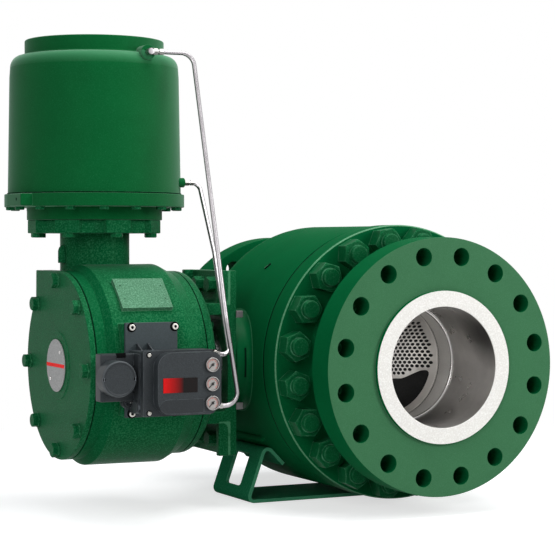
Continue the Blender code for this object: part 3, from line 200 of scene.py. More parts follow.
def cut_plate(bm, loops, axis, low, high, soft=0.001, centre=PIPE, finish=0, turn=None, segments=2):
    """Flat plate between two places on an axis: the first loop is its rim, the others are its holes."""
    plate = bmesh.new()
    edges = []
    for loop in loops:
        ring = [plate.verts.new((across, up, low)) for across, up in loop]
        edges += [plate.edges.new(pair) for pair in zip(ring, ring[1:] + ring[:1])]
    bmesh.ops.triangle_fill(plate, edges=edges, use_beauty=True, normal=(0, 0, 1))
    grown = bmesh.ops.extrude_face_region(plate, geom=plate.faces[:])["geom"]
    bmesh.ops.translate(plate, verts=[item for item in grown if isinstance(item, bmesh.types.BMVert)],
                        vec=(0, 0, high - low))
    soften(plate, soft, segments)
    lay = Matrix.Translation(centre) @ LAY_ON[axis]
    add_shell(bm, plate, finish, lay if turn is None else turn @ lay)


def soften(shell, soft, segments=2):
    """Round every sharp edge of a closed shell."""
    bmesh.ops.recalc_face_normals(shell, faces=shell.faces)
    sharp = [edge for edge in shell.edges if edge.is_manifold and edge.calc_face_angle() > 0.45]
    if soft > 0:
        bevel(shell, sharp, soft, segments)


def circle(radius, parts, across=0.0, up=0.0, first=0.0):
    return [(across + radius * cos(first + step * 2 * pi / parts),
             up + radius * sin(first + step * 2 * pi / parts)) for step in range(parts)]


def arc(across, up, radius, start, end, parts, other=None):
    """Points of an arc in degrees; other is its radius upwards where that differs."""
    turns = [radians(start + (end - start) * step / parts) for step in range(parts + 1)]
    return [(across + radius * cos(t), up + (other or radius) * sin(t)) for t in turns]


def block(bm, low, high, soft=0.001, finish=0, segments=2, turn=Matrix.Translation(PIPE)):
    """Box with rounded edges, from its low to its high corner."""
    low, high = Vector(low), Vector(high)
    shell = bmesh.new()
    bmesh.ops.create_cube(shell, size=1, matrix=Matrix.Translation((low + high) / 2)
                          @ Matrix.Diagonal((*(high - low), 1)))
    soften(shell, soft, segments)
    add_shell(bm, shell, finish, turn)


def set_piece(name, bm, finishes, nodes=(), body="valve_frame", sharp=38):
    """Make a piece of a finished bmesh, evenly shaded, riding on its body in place of CAD nodes."""
    mesh = bpy.data.meshes.new(name)
    bm.to_mesh(mesh)
    bm.free()
    for finish in finishes:
        mesh.materials.append(finish)
    mesh.shade_smooth()
    mesh.set_sharp_from_angle(angle=radians(sharp))
    piece = bpy.data.objects.new(name, mesh)
    scene.collection.objects.link(piece)
    even = piece.modifiers.new("even_shading", "WEIGHTED_NORMAL")
    even.keep_sharp = True
    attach(piece, body)
    if nodes:
        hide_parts(*nodes)
    return piece


def effect(name, inputs, outputs):
    """Empty node group with numbers going in and values coming out."""
    group = bpy.data.node_groups.new(name, "ShaderNodeTree")
    for label, value in inputs.items():
        group.interface.new_socket(label, in_out="INPUT",
                                   socket_type="NodeSocketFloat").default_value = value
    for label in outputs:
        group.interface.new_socket(label, in_out="OUTPUT", socket_type="NodeSocketFloat")
    return group, group.nodes.new("NodeGroupInput").outputs, group.nodes.new("NodeGroupOutput")


cast_grain, given, result = effect("cast_grain", {"Scale": 350.0}, ["Grain", "Mottle"])
spot = object_place(cast_grain)
fine = add_node(cast_grain, "TexNoise", {"Vector": spot, "Scale": given["Scale"], "Detail": 3.0,
                                         "Roughness": 0.6})
wide = add_node(cast_grain, "TexNoise", {"Vector": spot, "Scale": 17.0, "Detail": 4.0, "Roughness": 0.62})
cast_grain.links.new(fine.outputs["Fac"], result.inputs["Grain"])
cast_grain.links.new(wide.outputs["Fac"], result.inputs["Mottle"])

flecks, given, result = effect("flecks", {"Scale": 90.0, "Size": 0.12}, ["Flecks"])
spot = object_place(flecks)
cells = add_node(flecks, "TexVoronoi", {"Vector": spot, "Scale": given["Scale"]})
near = maths(flecks, "LESS_THAN", cells.outputs["Distance"], given["Size"])
shade = add_node(flecks, "SeparateColor", {0: cells.outputs["Color"]})
rare = maths(flecks, "GREATER_THAN", shade.outputs[0], 0.66)
both = maths(flecks, "MULTIPLY", near, rare)
flecks.links.new(both, result.inputs["Flecks"])

# Edge mask from inside occlusion, broken up by noise: rubbed paint together with a painted highlight along
# edges.
rubbed_and_lit_edge, given, result = effect("rubbed_and_lit_edge", {"Width": 0.003, "Break": 0.5}, ["Edge"])
inside = add_node(rubbed_and_lit_edge, "AmbientOcclusion", {"Distance": given["Width"]}, samples=8, inside=True)
open_part = maths(rubbed_and_lit_edge, "SUBTRACT", 1.0, inside.outputs["AO"])
broken = add_node(rubbed_and_lit_edge, "TexNoise", {"Vector": object_place(rubbed_and_lit_edge), "Scale": 60.0, "Detail": 4.0})
kept = add_node(rubbed_and_lit_edge, "MapRange", {"Value": broken.outputs["Fac"], "From Min": 0.35, "From Max": 0.62,
                                        "To Min": given["Break"], "To Max": 1.0})
edge = maths(rubbed_and_lit_edge, "MULTIPLY", open_part, kept.outputs[0])
strong = add_node(rubbed_and_lit_edge, "MapRange", {"Value": edge, "From Min": 0.12, "From Max": 0.55})
rubbed_and_lit_edge.links.new(strong.outputs[0], result.inputs["Edge"])


def use(tree, group, values):
    return add_node(tree, "Group", values, node_tree=group).outputs


def blend(tree, amount, first, second):
    """Mix of two colours; amount is a number or a socket."""
    return add_node(tree, "Mix", {0: amount, 6: first, 7: second}, data_type="RGBA").outputs[2]


def scaled(tree, value, low, high, start=0.0, end=1.0):
    return add_node(tree, "MapRange", {"Value": value, "From Min": start, "From Max": end, "To Min": low,
                                       "To Max": high}).outputs[0]


def toned(colour, factor=1.0, lift=0.0):
    """A darker or paler tone of a colour, with its alpha."""
    return (*(min(1, channel * factor + lift) for channel in colour), 1)


def paint(name, colour, pale, grain=300.0, depth=0.0001, tint=0.2, roughness=0.42, fleck=0.0, edge=0.0,
          edge_width=0.0016, specular=0.4, mottle=0.25, bloom=0.0):
    """Enamel with orange-peel grain, pale flecks, slow mottling, rubbed edges paled further as a painted
    highlight, and a soft pale bloom.
    """
    made, tree = new_material(name)
    grained = use(tree, cast_grain, {"Scale": grain})
    speck = use(tree, flecks, {"Scale": grain * 0.4, "Size": 0.16})
    rubbed_and_lit = use(tree, rubbed_and_lit_edge, {"Width": edge_width, "Break": 0.35})
    mottled = scaled(tree, grained["Mottle"], 0.0, mottle, 0.35, 0.68)
    base = blend(tree, mottled, toned(colour), toned(colour, 0.62))
    grainy = scaled(tree, grained["Grain"], 0.0, tint, 0.45, 0.70)
    base = blend(tree, grainy, base, toned(pale))
    base = blend(tree, scaled(tree, speck["Flecks"], 0.0, fleck), base, toned(pale))
    base = blend(tree, scaled(tree, rubbed_and_lit["Edge"], 0.0, edge), base, toned(pale, 1.5, 0.06))
    rough = scaled(tree, grained["Grain"], roughness - 0.07, roughness + 0.12, 0.3, 0.7)
    bump = add_node(tree, "Bump", {"Height": grained["Grain"], "Distance": depth, "Strength": 1.0})
    feed(tree, tree.nodes["Principled BSDF"], {"Base Color": base, "Roughness": rough,
                                               "Normal": bump.outputs[0], "Specular IOR Level": specular,
                                               "Sheen Weight": bloom, "Sheen Roughness": 0.45,
                                               "Sheen Tint": (0.75, 1.0, 0.85, 1)})
    return made


GREEN = (0.0012, 0.088, 0.026)
GLOSS_GREEN = (0.0010, 0.085, 0.020)
PALE_GREEN = (0.028, 0.190, 0.080)
enamel = paint("green_enamel", (0.0014, 0.095, 0.028), (0.012, 0.155, 0.058), grain=420, depth=0.00012,
               roughness=0.4, fleck=0.2, edge=0.55, specular=0.001)
gloss_enamel = paint("gloss_enamel", GLOSS_GREEN, (0.016, 0.165, 0.060), grain=420, fleck=0.25, edge=0.55,
                     specular=0.004, bloom=0.28)
# Paler enamel on the flange faces: painted light, where the faces turn towards the front lamps.
lit_flange_enamel = paint("lit_flange_face_enamel", (0.036, 0.132, 0.058), (0.078, 0.195, 0.105), grain=520, tint=0.35,
                    roughness=0.45, fleck=0.2, edge=0.4, specular=0.04, mottle=0.15)
# Pale paint for thin rims: a painted highlight along the closure's front outer edge and beside the body's
# slot mark.
rim_highlight = paint("painted_rim_highlight", (0.060, 0.210, 0.105), (0.13, 0.30, 0.17), grain=200, tint=0.8,
                  roughness=0.45, fleck=0.2, specular=0.1)
joint_dark = paint("joint_shadow", (0.0005, 0.012, 0.005), (0.002, 0.03, 0.012), tint=0.3, roughness=0.7,
                   specular=0.02)
casting = paint("green_casting", GREEN, PALE_GREEN, depth=0.0006, tint=0.75, roughness=0.36, fleck=0.6,
                edge=0.55, specular=0.015, mottle=0.5, bloom=0.04)
cast_shade = paint("shaded_casting", (0.0011, 0.082, 0.024), (0.018, 0.150, 0.064), depth=0.0004, tint=0.6,
                   fleck=0.4, specular=0.008)
# Paler enamel for the name pad: painted light on the pad tipped up towards the overhead lamp.
lit_pad_enamel = paint("lit_name_pad_enamel", (0.045, 0.160, 0.080), (0.140, 0.325, 0.205), grain=330, depth=0.0002,
                   tint=0.8, fleck=0.3, edge=0.5, specular=0.08)


def metal(name, colour, roughness, along="Y", marks=150.0, depth=0.00002, stain=0.35, painted_shade_spots=()):
    """Machined metal with turning marks round one axis, a little stain, edges brightened as wear and painted
    highlight, and soft dark spots of painted shade.
    """
    made, tree = new_material(name)
    spot = add_node(tree, "Mapping", {"Vector": object_place(tree), "Location": -PIPE}).outputs[0]
    wave = {"Vector": spot, "Scale": marks, "Distortion": 1.5, "Detail": 2.0}
    bands = add_node(tree, "TexWave", wave, wave_type="BANDS", bands_direction=along)
    rings = add_node(tree, "TexWave", wave, wave_type="RINGS", rings_direction=along)
    turned = maths(tree, "ADD", bands.outputs["Fac"], rings.outputs["Fac"])
    grained = use(tree, cast_grain, {"Scale": 220.0})
    rubbed_and_lit = use(tree, rubbed_and_lit_edge, {"Width": 0.0015, "Break": 0.7})
    stained = scaled(tree, grained["Mottle"], 0.0, stain, 0.4, 0.7)
    base = blend(tree, stained, toned(colour), toned(colour, 0.55))
    # Edges brightened: wear together with a painted highlight.
    base = blend(tree, scaled(tree, rubbed_and_lit["Edge"], 0.0, 0.6), base, toned(colour, 1.5, 0.1))
    for place, spread in painted_shade_spots:
        apart = add_node(tree, "VectorMath", {0: spot, 1: place}, operation="DISTANCE").outputs["Value"]
        shade_amount = scaled(tree, apart, 0.85, 0.0, 0.2 * spread, spread)
        base = blend(tree, shade_amount, base, toned(colour, 0.18))
    rough = scaled(tree, grained["Mottle"], roughness - 0.05, roughness + 0.12, 0.35, 0.7)
    bump = add_node(tree, "Bump", {"Height": turned, "Distance": depth, "Strength": 1.0})
    feed(tree, tree.nodes["Principled BSDF"], {"Base Color": base, "Roughness": rough,
                                               "Normal": bump.outputs[0], "Metallic": 1.0})
    return made


# The bare steel of the bores carries two soft dark spots of painted shade.
bare_steel = metal("bare_steel", (0.68, 0.665, 0.65), 0.32, stain=0.25, depth=0.000005,
                   painted_shade_spots=(((0.105, -0.400, 0.070), 0.085), ((0.010, -0.270, -0.125), 0.105)))
gasket_face = paint("gasket_face", (0.66, 0.64, 0.60), (0.80, 0.79, 0.76), grain=330, depth=0.0002, tint=0.9,
                    roughness=0.5, fleck=0.3, edge=0.2, mottle=0.06)

FACE_Y, FLANGE_FRONT, FLANGE_BACK = 0.419, 0.412, 0.342
BORE_R, RAISED_R, FLANGE_R, HUB_R = 0.127, 0.162, 0.2725, 0.205
BODY_R, JOINT_Y, CAVITY_R, BOSS_R, BOSS_FACE = 0.2975, -0.160, 0.238, 0.100, 0.330
HOLE_R, HOLE_CIRCLE = 0.019, 0.235
POCKET_R, POCKET_BACK, POCKET_MOUTH = 0.1505, 0.2493, 0.1766


def stack(bm, rows, finish, turn):
    """Closed skin over rings that all have the same number of points."""
    shell = bmesh.new()
    loops = []
    for row in rows:
        verts = [shell.verts.new(point) for point in row]
        loops.append([shell.edges.new(pair) for pair in zip(verts, verts[1:] + verts[:1])])
    for first, second in zip(loops, loops[1:]):
        bmesh.ops.bridge_loops(shell, edges=first + second)
    for end in (loops[0], loops[-1]):
        bmesh.ops.contextual_create(shell, geom=end)
    add_shell(bm, shell, finish, turn)


def land_on_pipe(bm, centre, radius, axis, sign, face, under, flare=0.014, soft=0.003, finish=0):
    """Round boss along X or Z that flares onto the round wall under it; under gives that wall's height."""
    rows = [(radius - soft, 0, face), (radius - soft * 0.3, 0, face - soft * 0.3), (radius, 0, face - soft)]
    rows += [(radius + flare * (1 - cos(t)), flare * (1 - sin(t)), None)
             for t in (radians(turn) for turn in (0, 18, 36, 54, 72, 90))]
    rows += [(radius + flare, -0.02, None)]
    rings = [[(a, b, under(a, b) + lift if height is None else height) for a, b in circle(reach, 96)]
             for reach, lift, height in rows]
    flip = Matrix() if sign > 0 else Matrix.Rotation(pi, 4, "X")
    stack(bm, rings, finish, Matrix.Translation(centre) @ TURN_TO[axis] @ flip)


def around(count, radius, first=0.0):
    """Places evenly round a circle: the angle of each and its offsets on two axes."""
    for number in range(count):
        turn = radians(first + 360 / count * number)
        yield turn, radius * cos(turn), radius * sin(turn)


def pipe_flange(bm, sign):
    """Flange ring with its sixteen bolt holes, on either side of the centre line."""
    holes = [circle(HOLE_R, 24, across, up, turn) for turn, across, up in around(16, HOLE_CIRCLE, 11.25)]
    low, high = sorted((sign * FLANGE_BACK, sign * FLANGE_FRONT))
    cut_plate(bm, [circle(FLANGE_R, 160), circle(0.150, 96)] + holes, "Y", low, high, 0.0016)


def faces_from(bm, axis, centre=PIPE):
    """Each face with its middle, seen from a centre, and how far the middle is from an axis through it."""
    for face in bm.faces:
        middle = face.calc_center_median() - centre
        yield face, middle, hypot(*(place for place, letter in zip(middle, "XYZ") if letter != axis))


body = bmesh.new()
shoulder = arc(HUB_R, 0.147, BODY_R - HUB_R, 90, 0, 20, other=0.098)
lathe(body, [(RAISED_R, FACE_Y), (BORE_R, FACE_Y), (BORE_R, POCKET_BACK), (POCKET_R, POCKET_BACK),
             (POCKET_R, POCKET_MOUTH), (CAVITY_R, 0.1153), (CAVITY_R, JOINT_Y), (BODY_R, JOINT_Y, 0.0012),
             (BODY_R, 0.0832, 0), (BODY_R - 0.0008, 0.0845, 0), (BODY_R, 0.0858, 0),
             *[(r, y, 0) for r, y in reversed(shoulder)],
             *[(r, y, 0) for r, y in arc(HUB_R + 0.012, FLANGE_BACK - 0.012, 0.012, 180, 90, 6)],
             (HUB_R + 0.014, FLANGE_BACK + 0.01, 0), (HUB_R, FLANGE_BACK + 0.04, 0),
             (RAISED_R, FLANGE_BACK + 0.04, 0)], steps=192)
pipe_flange(body, 1)
for sign in (-1, 1):
    land_on_pipe(body, PIPE, BOSS_R, "X", sign, BOSS_FACE,
                 lambda a, b: sqrt(max(BODY_R ** 2 - a * a, 0)) - 0.0006, soft=0.010, finish=6)
body.normal_update()
# The flange faces take the paler enamel, which is painted light.
for face, middle, reach in faces_from(body, "Y"):
    if middle.y > FLANGE_FRONT + 0.002 and reach < RAISED_R - 0.0015:
        face.material_index = 2
    elif abs(middle.y) > FLANGE_FRONT - 0.0003 and reach > RAISED_R:
        face.material_index = 3
    side = hypot(middle.y, middle.z)
    on_boss = middle.x < -0.29 and middle.y < -0.05 and abs(middle.z) < 0.034 and abs(face.normal.y) > 0.02
    if on_boss and (0.1001 < side < 0.1012 or 0.109 < side < 0.115):
        face.material_index = 4
    in_bore = reach < 0.152 and middle.y < FACE_Y - 0.001
    if in_bore or reach < CAVITY_R + 0.002 and -0.2 < middle.y < 0.18 and abs(middle.x) < 0.24:
        face.material_index = 1
# A small slot mark on the top: a dark strip of painted shade beside a pale strip of painted highlight.
for start, end, offset, width, finish in ((0, 0.0177, 0.0, 0.0028, 4), (0, 0.010, 0.0028, 0.0016, 5)):
    along = Vector((0.0109, -0.0083, 0.0112)).normalized()
    lift = Vector((-0.735, 0, 0.678))
    across = lift.cross(along).normalized()
    turn = Matrix((along, across, along.cross(across))).transposed().to_4x4()
    turn = Matrix.Translation(PIPE + Vector((-0.2187, -0.0122, 0.2017))) @ turn
    block(body, (start, offset - width, -0.004), (end, offset + width, 0.0022), 0.0004, finish, turn=turn)
lathe(body, [(0, -0.059), (0.007, -0.059, 0.004), (0.007, 0.112, 0.004), (0, 0.112)], "Y",
      PIPE + Vector((-0.2435, 0, -0.1735)), 32)
boss_enamel = paint("boss_enamel", GREEN, (0.012, 0.150, 0.056), grain=420, depth=0.00012, roughness=0.35,
                    fleck=0.2, specular=0.03)
set_piece("body_casting", body, (enamel, bare_steel, gasket_face, lit_flange_enamel, joint_dark, rim_highlight,
                                 boss_enamel), ["valve_body"])

# Front closure: a forged cover with its own pipe flange, painted like the body, its spigot in the cavity.
# Twenty studs clamp it to the body; the joint shows as a thin dark line, and the rim's front outer edge
# carries a painted highlight.
CLOSURE_R, CLOSURE_FACE = 0.2995, -0.2258
closure = bmesh.new()
lathe(closure, [(RAISED_R, -FACE_Y), (BORE_R, -FACE_Y), (BORE_R, -POCKET_BACK),
                (POCKET_R, -POCKET_BACK), (POCKET_R, -POCKET_MOUTH), (0.1848, -0.150),
                (0.2375, -0.150), (0.2375, -0.1603),
                (CLOSURE_R - 0.0032, -0.1603, 0), (CLOSURE_R - 0.0032, -0.1645, 0), (CLOSURE_R, -0.1740, 0),
                (CLOSURE_R, CLOSURE_FACE + 0.0026, 0), (CLOSURE_R - 0.0026, CLOSURE_FACE, 0),
                *[(r, y, 0) for r, y in arc(HUB_R + 0.016, CLOSURE_FACE - 0.016, 0.016, 90, 180, 6)],
                *[(r, y, 0) for r, y in arc(HUB_R + 0.012, 0.012 - FLANGE_BACK, 0.012, 180, 270, 6)],
                (HUB_R + 0.014, -FLANGE_BACK - 0.01, 0), (HUB_R, -FLANGE_BACK - 0.04, 0),
                (RAISED_R, -FLANGE_BACK - 0.04, 0)], steps=192)
pipe_flange(closure, -1)
for face, middle, reach in faces_from(closure, "Y"):
    if middle.y < -FLANGE_FRONT - 0.002 and reach < RAISED_R - 0.0015:
        face.material_index = 2
    elif middle.y < 0.0003 - FLANGE_FRONT and reach > RAISED_R:
        face.material_index = 3
    elif reach < 0.152 and middle.y > 0.001 - FACE_Y:
        face.material_index = 1
    # The rim's front outer edge takes the painted highlight.
    elif reach > CLOSURE_R - 0.0022 and middle.y < CLOSURE_FACE + 0.0022:
        face.material_index = 4
    elif reach > CLOSURE_R - 0.0040 and middle.y > -0.1648:
        face.material_index = 5
set_piece("front_closure", closure, (enamel, bare_steel, gasket_face, lit_flange_enamel, rim_highlight, joint_dark),
          ["front_tailpiece"])


# Closure studs: heavy hexagon nuts on threaded studs, painted over with the rest of the valve.
# Twenty stand round the bolt circle, each nut with a flat outwards.
def standing(place, axis, sign, spin=0.0, centre=PIPE):
    """Matrix that stands a fastener, drawn up its own Z, on a place along an axis."""
    flip = Matrix() if sign > 0 else Matrix.Rotation(pi, 4, "X")
    return Matrix.Translation(centre + Vector(place)) @ TURN_TO[axis] @ flip @ Matrix.Rotation(spin, 4, "Z")


def hexagon(bm, flats, height, turn, finish=0, low=0.0):
    """Hexagon nut or bolt head whose corners are turned off at the top."""
    rims, shoulders, tops = [], [], []
    top = flats / 2 * 0.95
    for angle, across, up in around(36, 1):
        reach = flats / 2 / cos((angle + pi / 6) % (pi / 3) - pi / 6)
        rims.append((across * reach, up * reach, low))
        shoulders.append((across * reach, up * reach, height - (reach - top) * 0.62))
        tops.append((across * top, up * top, height))
    stack(bm, [rims, shoulders, tops], finish, turn)


def peg(bm, radius, low, high, turn, finish=0, steps=24, soft=0.001, hollow=0.0):
    """Round pin, washer or screw head; hollow is the radius of its socket."""
    socket = [(hollow, high), (hollow, high - hollow)] if hollow else []
    outline = [(0, low), (radius, low), (radius, high, soft), *socket, (0, high - hollow)]
    lathe(bm, outline, steps=steps, soft=soft * 0.5, finish=finish, turn=turn)


# The nuts' wide pale edges are rubbed paint together with a painted highlight.
nut_enamel = paint("nut_enamel", (0.0010, 0.080, 0.023), (0.050, 0.215, 0.110), depth=0.0003, tint=0.22,
                   roughness=0.38, fleck=0.3, edge=0.85, edge_width=0.0042, specular=0.03)
STUD_CIRCLE, STUD_R, STUD_DEPTH, STUD_REACH = 0.2645, 0.019, 0.100, 0.0465
NUT_FLATS, NUT_HEIGHT = 0.0565, 0.035
for number, (turn, across, up) in enumerate(around(20, STUD_CIRCLE, 9)):
    stud = bmesh.new()
    stand = standing((across, CLOSURE_FACE - 0.0003, up), "Y", -1, turn)
    hexagon(stud, NUT_FLATS, NUT_HEIGHT, stand)
    peg(stud, STUD_R, -STUD_DEPTH, STUD_REACH, stand, steps=36, soft=0.0030)
    set_piece(f"stud_and_nut_{number + 1:02d}", stud, (nut_enamel,), [f"body_nut_{number + 1:02d}"],
              sharp=28)

# Seats: ground steel rings that the ball turns against, each with a raised lip at the pipe bore.
# The front one shows as a bright circle deep in the bore.
bright_steel = metal("bright_steel", (0.56, 0.55, 0.54), 0.26)
seat_grey = paint("seat_grey", (0.64, 0.62, 0.59), (0.74, 0.72, 0.69), depth=0.00005, tint=0.5,
                  roughness=0.4, mottle=0.15)
for name, sign in (("front_seat", -1), ("rear_seat", 1)):
    ring = bmesh.new()
    lathe(ring, [(0.150, sign * 0.249), (0.150, sign * 0.1733), (BORE_R, sign * 0.1908),
                 (BORE_R, sign * 0.2405, 0.0008), (0.1232, sign * 0.2435, 0.001),
                 (0.1232, sign * 0.2472, 0.001), (0.1250, sign * 0.249, 0.0008)], steps=160, soft=0.0006)
    for face, middle, reach in faces_from(ring, "Y"):
        if reach < BORE_R + 0.0005 and abs(middle.y) < 0.2407:
            face.material_index = 1
    set_piece(name + "_ring", ring, (bright_steel, seat_grey), [name])

# Ball: a plated steel ball with the full bore through it, turned by the stem.
# Its two bearing sockets lie inside the body and never show.
plated = metal("plated_ball", (0.50, 0.50, 0.51), 0.22, stain=0.2)
BALL_R = 0.228
sweep = degrees(acos(BORE_R / BALL_R))
sphere = bmesh.new()
lathe(sphere, [(r, y, 0) for r, y in arc(0, 0, BALL_R, sweep, -sweep, 48)]
      + [(BORE_R, y, 0) for y in (-0.1850, 0.040, 0.0425)], steps=160)
for face, middle, reach in faces_from(sphere, "Y"):
    if reach < BORE_R + 0.001:
        face.material_index = 2 if middle.y < -0.185 else 3 if 0.040 < middle.y < 0.0425 else 1
# The bore through the ball is painted near black: painted shade deep inside the pipe.
shaded_bore = paint("painted_shade_bore", (0.006, 0.0057, 0.0054), (0.020, 0.019, 0.018), grain=200, depth=0.00005,
                  tint=0.4, roughness=0.55, specular=0.15)
bore_line = paint("bore_line", (0.030, 0.029, 0.028), (0.06, 0.058, 0.055), grain=200, depth=0.00005,
                  tint=0.4, roughness=0.5, specular=0.15)
set_piece("ball_with_bore", sphere, (plated, shaded_bore, seat_grey, bore_line), ["ball"],
          "stem_train")

# Attenuator: a dished steel plate across the upper bore of the ball, drilled with rows of small holes
# that break up the flow. Its lower edge is cut away over the open part of the bore.
RIM_R, DISH = 0.1267, 0.065
dish_r = (RIM_R ** 2 + DISH ** 2) / (2 * DISH)
dish_y = -0.185 + DISH - dish_r
rim = circle(RIM_R, 120)
half_arch = [(0, -0.0438), (0.030, -0.0440), (0.060, -0.0436), (0.068, -0.041), (0.090, -0.0300),
             (0.098, -0.0262), (0.106, -0.0245), (0.1105, -0.0262), (0.1120, -0.0300), (0.1115, -0.0350)]
half_arch += arc(0, 0, 0.1168, -19, -86, 18)
window = half_arch + [(-x, z) for x, z in reversed(half_arch) if x > 0.001]
drilled = []
PITCH = 0.0093
for row in range(-5, 16):
    for column in range(-15, 16):
        x = (column + (row % 2) / 2) * PITCH
        z = row * PITCH * 0.866
        above = z > -0.0385 if abs(x) < 0.055 else z > -0.0385 + min(1, (abs(x) - 0.055) / 0.035) * 0.0165
        if hypot(x, z) < RIM_R - 0.0080 and above:
            drilled.append((x, z))
dish = bmesh.new()
edges = []
for loop in [rim, window] + [circle(0.0038, 10, x, z) for x, z in drilled]:
    ring = [dish.verts.new((x, 0, z)) for x, z in loop]
    edges += [dish.edges.new(pair) for pair in zip(ring, ring[1:] + ring[:1])]
bmesh.ops.triangle_fill(dish, edges=edges, use_beauty=True, normal=(0, 1, 0))
for vert in dish.verts:
    vert.co.y = dish_y + sqrt(dish_r ** 2 - vert.co.x ** 2 - vert.co.z ** 2)
bmesh.ops.recalc_face_normals(dish, faces=dish.faces)
bmesh.ops.solidify(dish, geom=dish.faces[:], thickness=0.0032)
bmesh.ops.translate(dish, verts=dish.verts, vec=PIPE)
bmesh.ops.recalc_face_normals(dish, faces=dish.faces)
drilled_steel = metal("drilled_steel", (0.56, 0.54, 0.515), 0.45, marks=50, stain=0.2)
set_piece("drilled_dome", dish, (drilled_steel,), ["attenuator_dome"], "stem_train", 30)

# Stem and packing: a ground shaft through the bonnet, its packing pressed by a follower on four studs.
# They show dark and steel grey between the yoke's two shelves.
shaft = bmesh.new()
lathe(shaft, [(0, -0.152), (0.040, -0.152), (0.040, -0.2385), (0.035, -0.2385), (0.035, -0.686),
              (0.018, -0.686), (0.018, -0.7048), (0, -0.7048)], "X", steps=64)
stem_steel = metal("stem_steel", (0.45, 0.45, 0.46), 0.28, along="X")
set_piece("stem_shaft", shaft, (stem_steel,), ["stem"], "stem_train")
box = bmesh.new()
lathe(box, [(0.060, -0.2395), (0.060, -0.3303), (0.072, -0.3303), (0.072, -0.3623), (0.050, -0.3623),
            (0.050, -0.3203), (0.0355, -0.3203), (0.0355, -0.2395)], "X", steps=96)
set_piece("packing_box", box, (stem_steel,), ["bonnet"])
gland = bmesh.new()
lathe(gland, [(0.0495, -0.3483), (0.0495, -0.3663), (0.068, -0.3663, 0.002), (0.068, -0.3783, 0.002),
              (0.0355, -0.3783), (0.0355, -0.3483)], "X", steps=96)
for turn, across, up in around(4, 0.057, 45):
    stand = standing((-0.3783, across, up), "X", -1, turn)
    hexagon(gland, 0.019, 0.011, stand, 1)
    peg(gland, 0.006, -0.012, 0.0165, stand, 2, soft=0.001)
plated_bolt = metal("plated_bolt", (0.42, 0.41, 0.38), 0.36, along="X", stain=0.5)
set_piece("packing_gland", gland, (stem_steel, enamel, plated_bolt), ["packing_follower"],
          sharp=30)

# Trunnion: the bearing pin on the far side, its flange held to the boss by eight cap screws.
# It is painted with the body.
pin = bmesh.new()
lathe(pin, [(0, 0.3430), (0.085, 0.3430, 0.003), (0.085, 0.3303), (0.060, 0.3303), (0.060, 0.2395),
            (0.040, 0.2395), (0.040, 0.152), (0, 0.152)], "X", steps=120)
for turn, across, up in around(8, 0.068, 22.5):
    peg(pin, 0.0088, 0.0, 0.0093, standing((0.3428, across, up), "X", 1), hollow=0.0042)
hexagon(pin, 0.026, 0.008, standing((0.3429, 0, 0), "X", 1))
set_piece("trunnion_pin", pin, (enamel,), ["trunnion"])

# Foot: one steel strap bent up at both ends and folded onto the body, painted, with a window in each leg.
# It carries the whole valve.
STRAP, FOOT_HALF, NEAR_Y, FAR_Y = 0.011, 0.287, -0.060, 0.126
pad = radians(44)
out = Vector((-cos(pad), 0, -sin(pad)))
inward = Vector((-out.z, 0, out.x))
pad_middle = PIPE + out * (BODY_R + 0.0003 + STRAP / 2)
fold, tip = pad_middle - inward * 0.030, pad_middle + inward * 0.030
corner = Vector((STRAP / 2 - FOOT_HALF, 0, STRAP / 2))
leg = fold - corner
window_low, window_high = [corner + leg * ((z - corner.z) / leg.z) for z in (0.031, 0.102)]
strap = bmesh.new()
line = [tip, fold, window_high, window_low, corner]
line += [Vector((-point.x, 0, point.z)) for point in reversed(line)]
verts = [strap.verts.new((point.x, NEAR_Y, point.z)) for point in line]
for pair in zip(verts, verts[1:]):
    strap.edges.new(pair)
for bends, offset in (((verts[1], verts[8]), 0.019), ((verts[4], verts[5]), 0.014)):
    bevel(strap, list(bends), offset, 8, "VERTICES", clamp=False)
row = strap.edges[:]
for step in (-0.005 - NEAR_Y, 0.076, FAR_Y - 0.071):
    grown = bmesh.ops.extrude_edge_only(strap, edges=row)["geom"]
    row = [item for item in grown if isinstance(item, bmesh.types.BMEdge)
           and abs(item.verts[0].co.y - item.verts[1].co.y) < 1e-6 and item not in row]
    moved = {vert for item in row for vert in item.verts}
    bmesh.ops.translate(strap, verts=list(moved), vec=(0, step, 0))
windows = [face for face in strap.faces if abs(face.calc_center_median().y - 0.033) < 0.01
           and 0.05 < face.calc_center_median().z < 0.08]
bmesh.ops.delete(strap, geom=windows, context="FACES")
corners = [vert for vert in strap.verts if 0.03 < vert.co.z < 0.103 and vert.is_boundary
           and -0.006 < vert.co.y < 0.072]
bevel(strap, corners, 0.008, 4, "VERTICES", clamp=False)
bmesh.ops.recalc_face_normals(strap, faces=strap.faces)
# The foot's enamel is paler than the body's, painted light on legs that lie in shade; its rim faces are
# paler still, a painted highlight.
lit_foot_enamel = paint("lit_foot_enamel", (0.010, 0.165, 0.066), (0.045, 0.260, 0.130), grain=330, depth=0.0003,
                    tint=0.5, roughness=0.45, fleck=0.4, edge=0.7, edge_width=0.003, specular=0.001)
foot_edge_highlight = paint("foot_edge_highlight", (0.070, 0.340, 0.175), (0.130, 0.420, 0.250), grain=330, depth=0.0003,
                  tint=0.5, roughness=0.45, fleck=0.3, edge=0.4, specular=0.005)
foot = set_piece("foot_strap", strap, (lit_foot_enamel, foot_edge_highlight), ["foot"])
foot.modifiers.clear()
thick = foot.modifiers.new("thickness", "SOLIDIFY")
SHOWN_STRAP = 0.0078
thick.thickness, thick.use_even_offset = SHOWN_STRAP, True
thick.offset = STRAP / SHOWN_STRAP - 1
thick.material_offset_rim = 1
rolled = foot.modifiers.new("rolled_edge", "BEVEL")
rolled.width, rolled.segments, rolled.limit_method, rolled.angle_limit = 0.0016, 2, "ANGLE", radians(50)
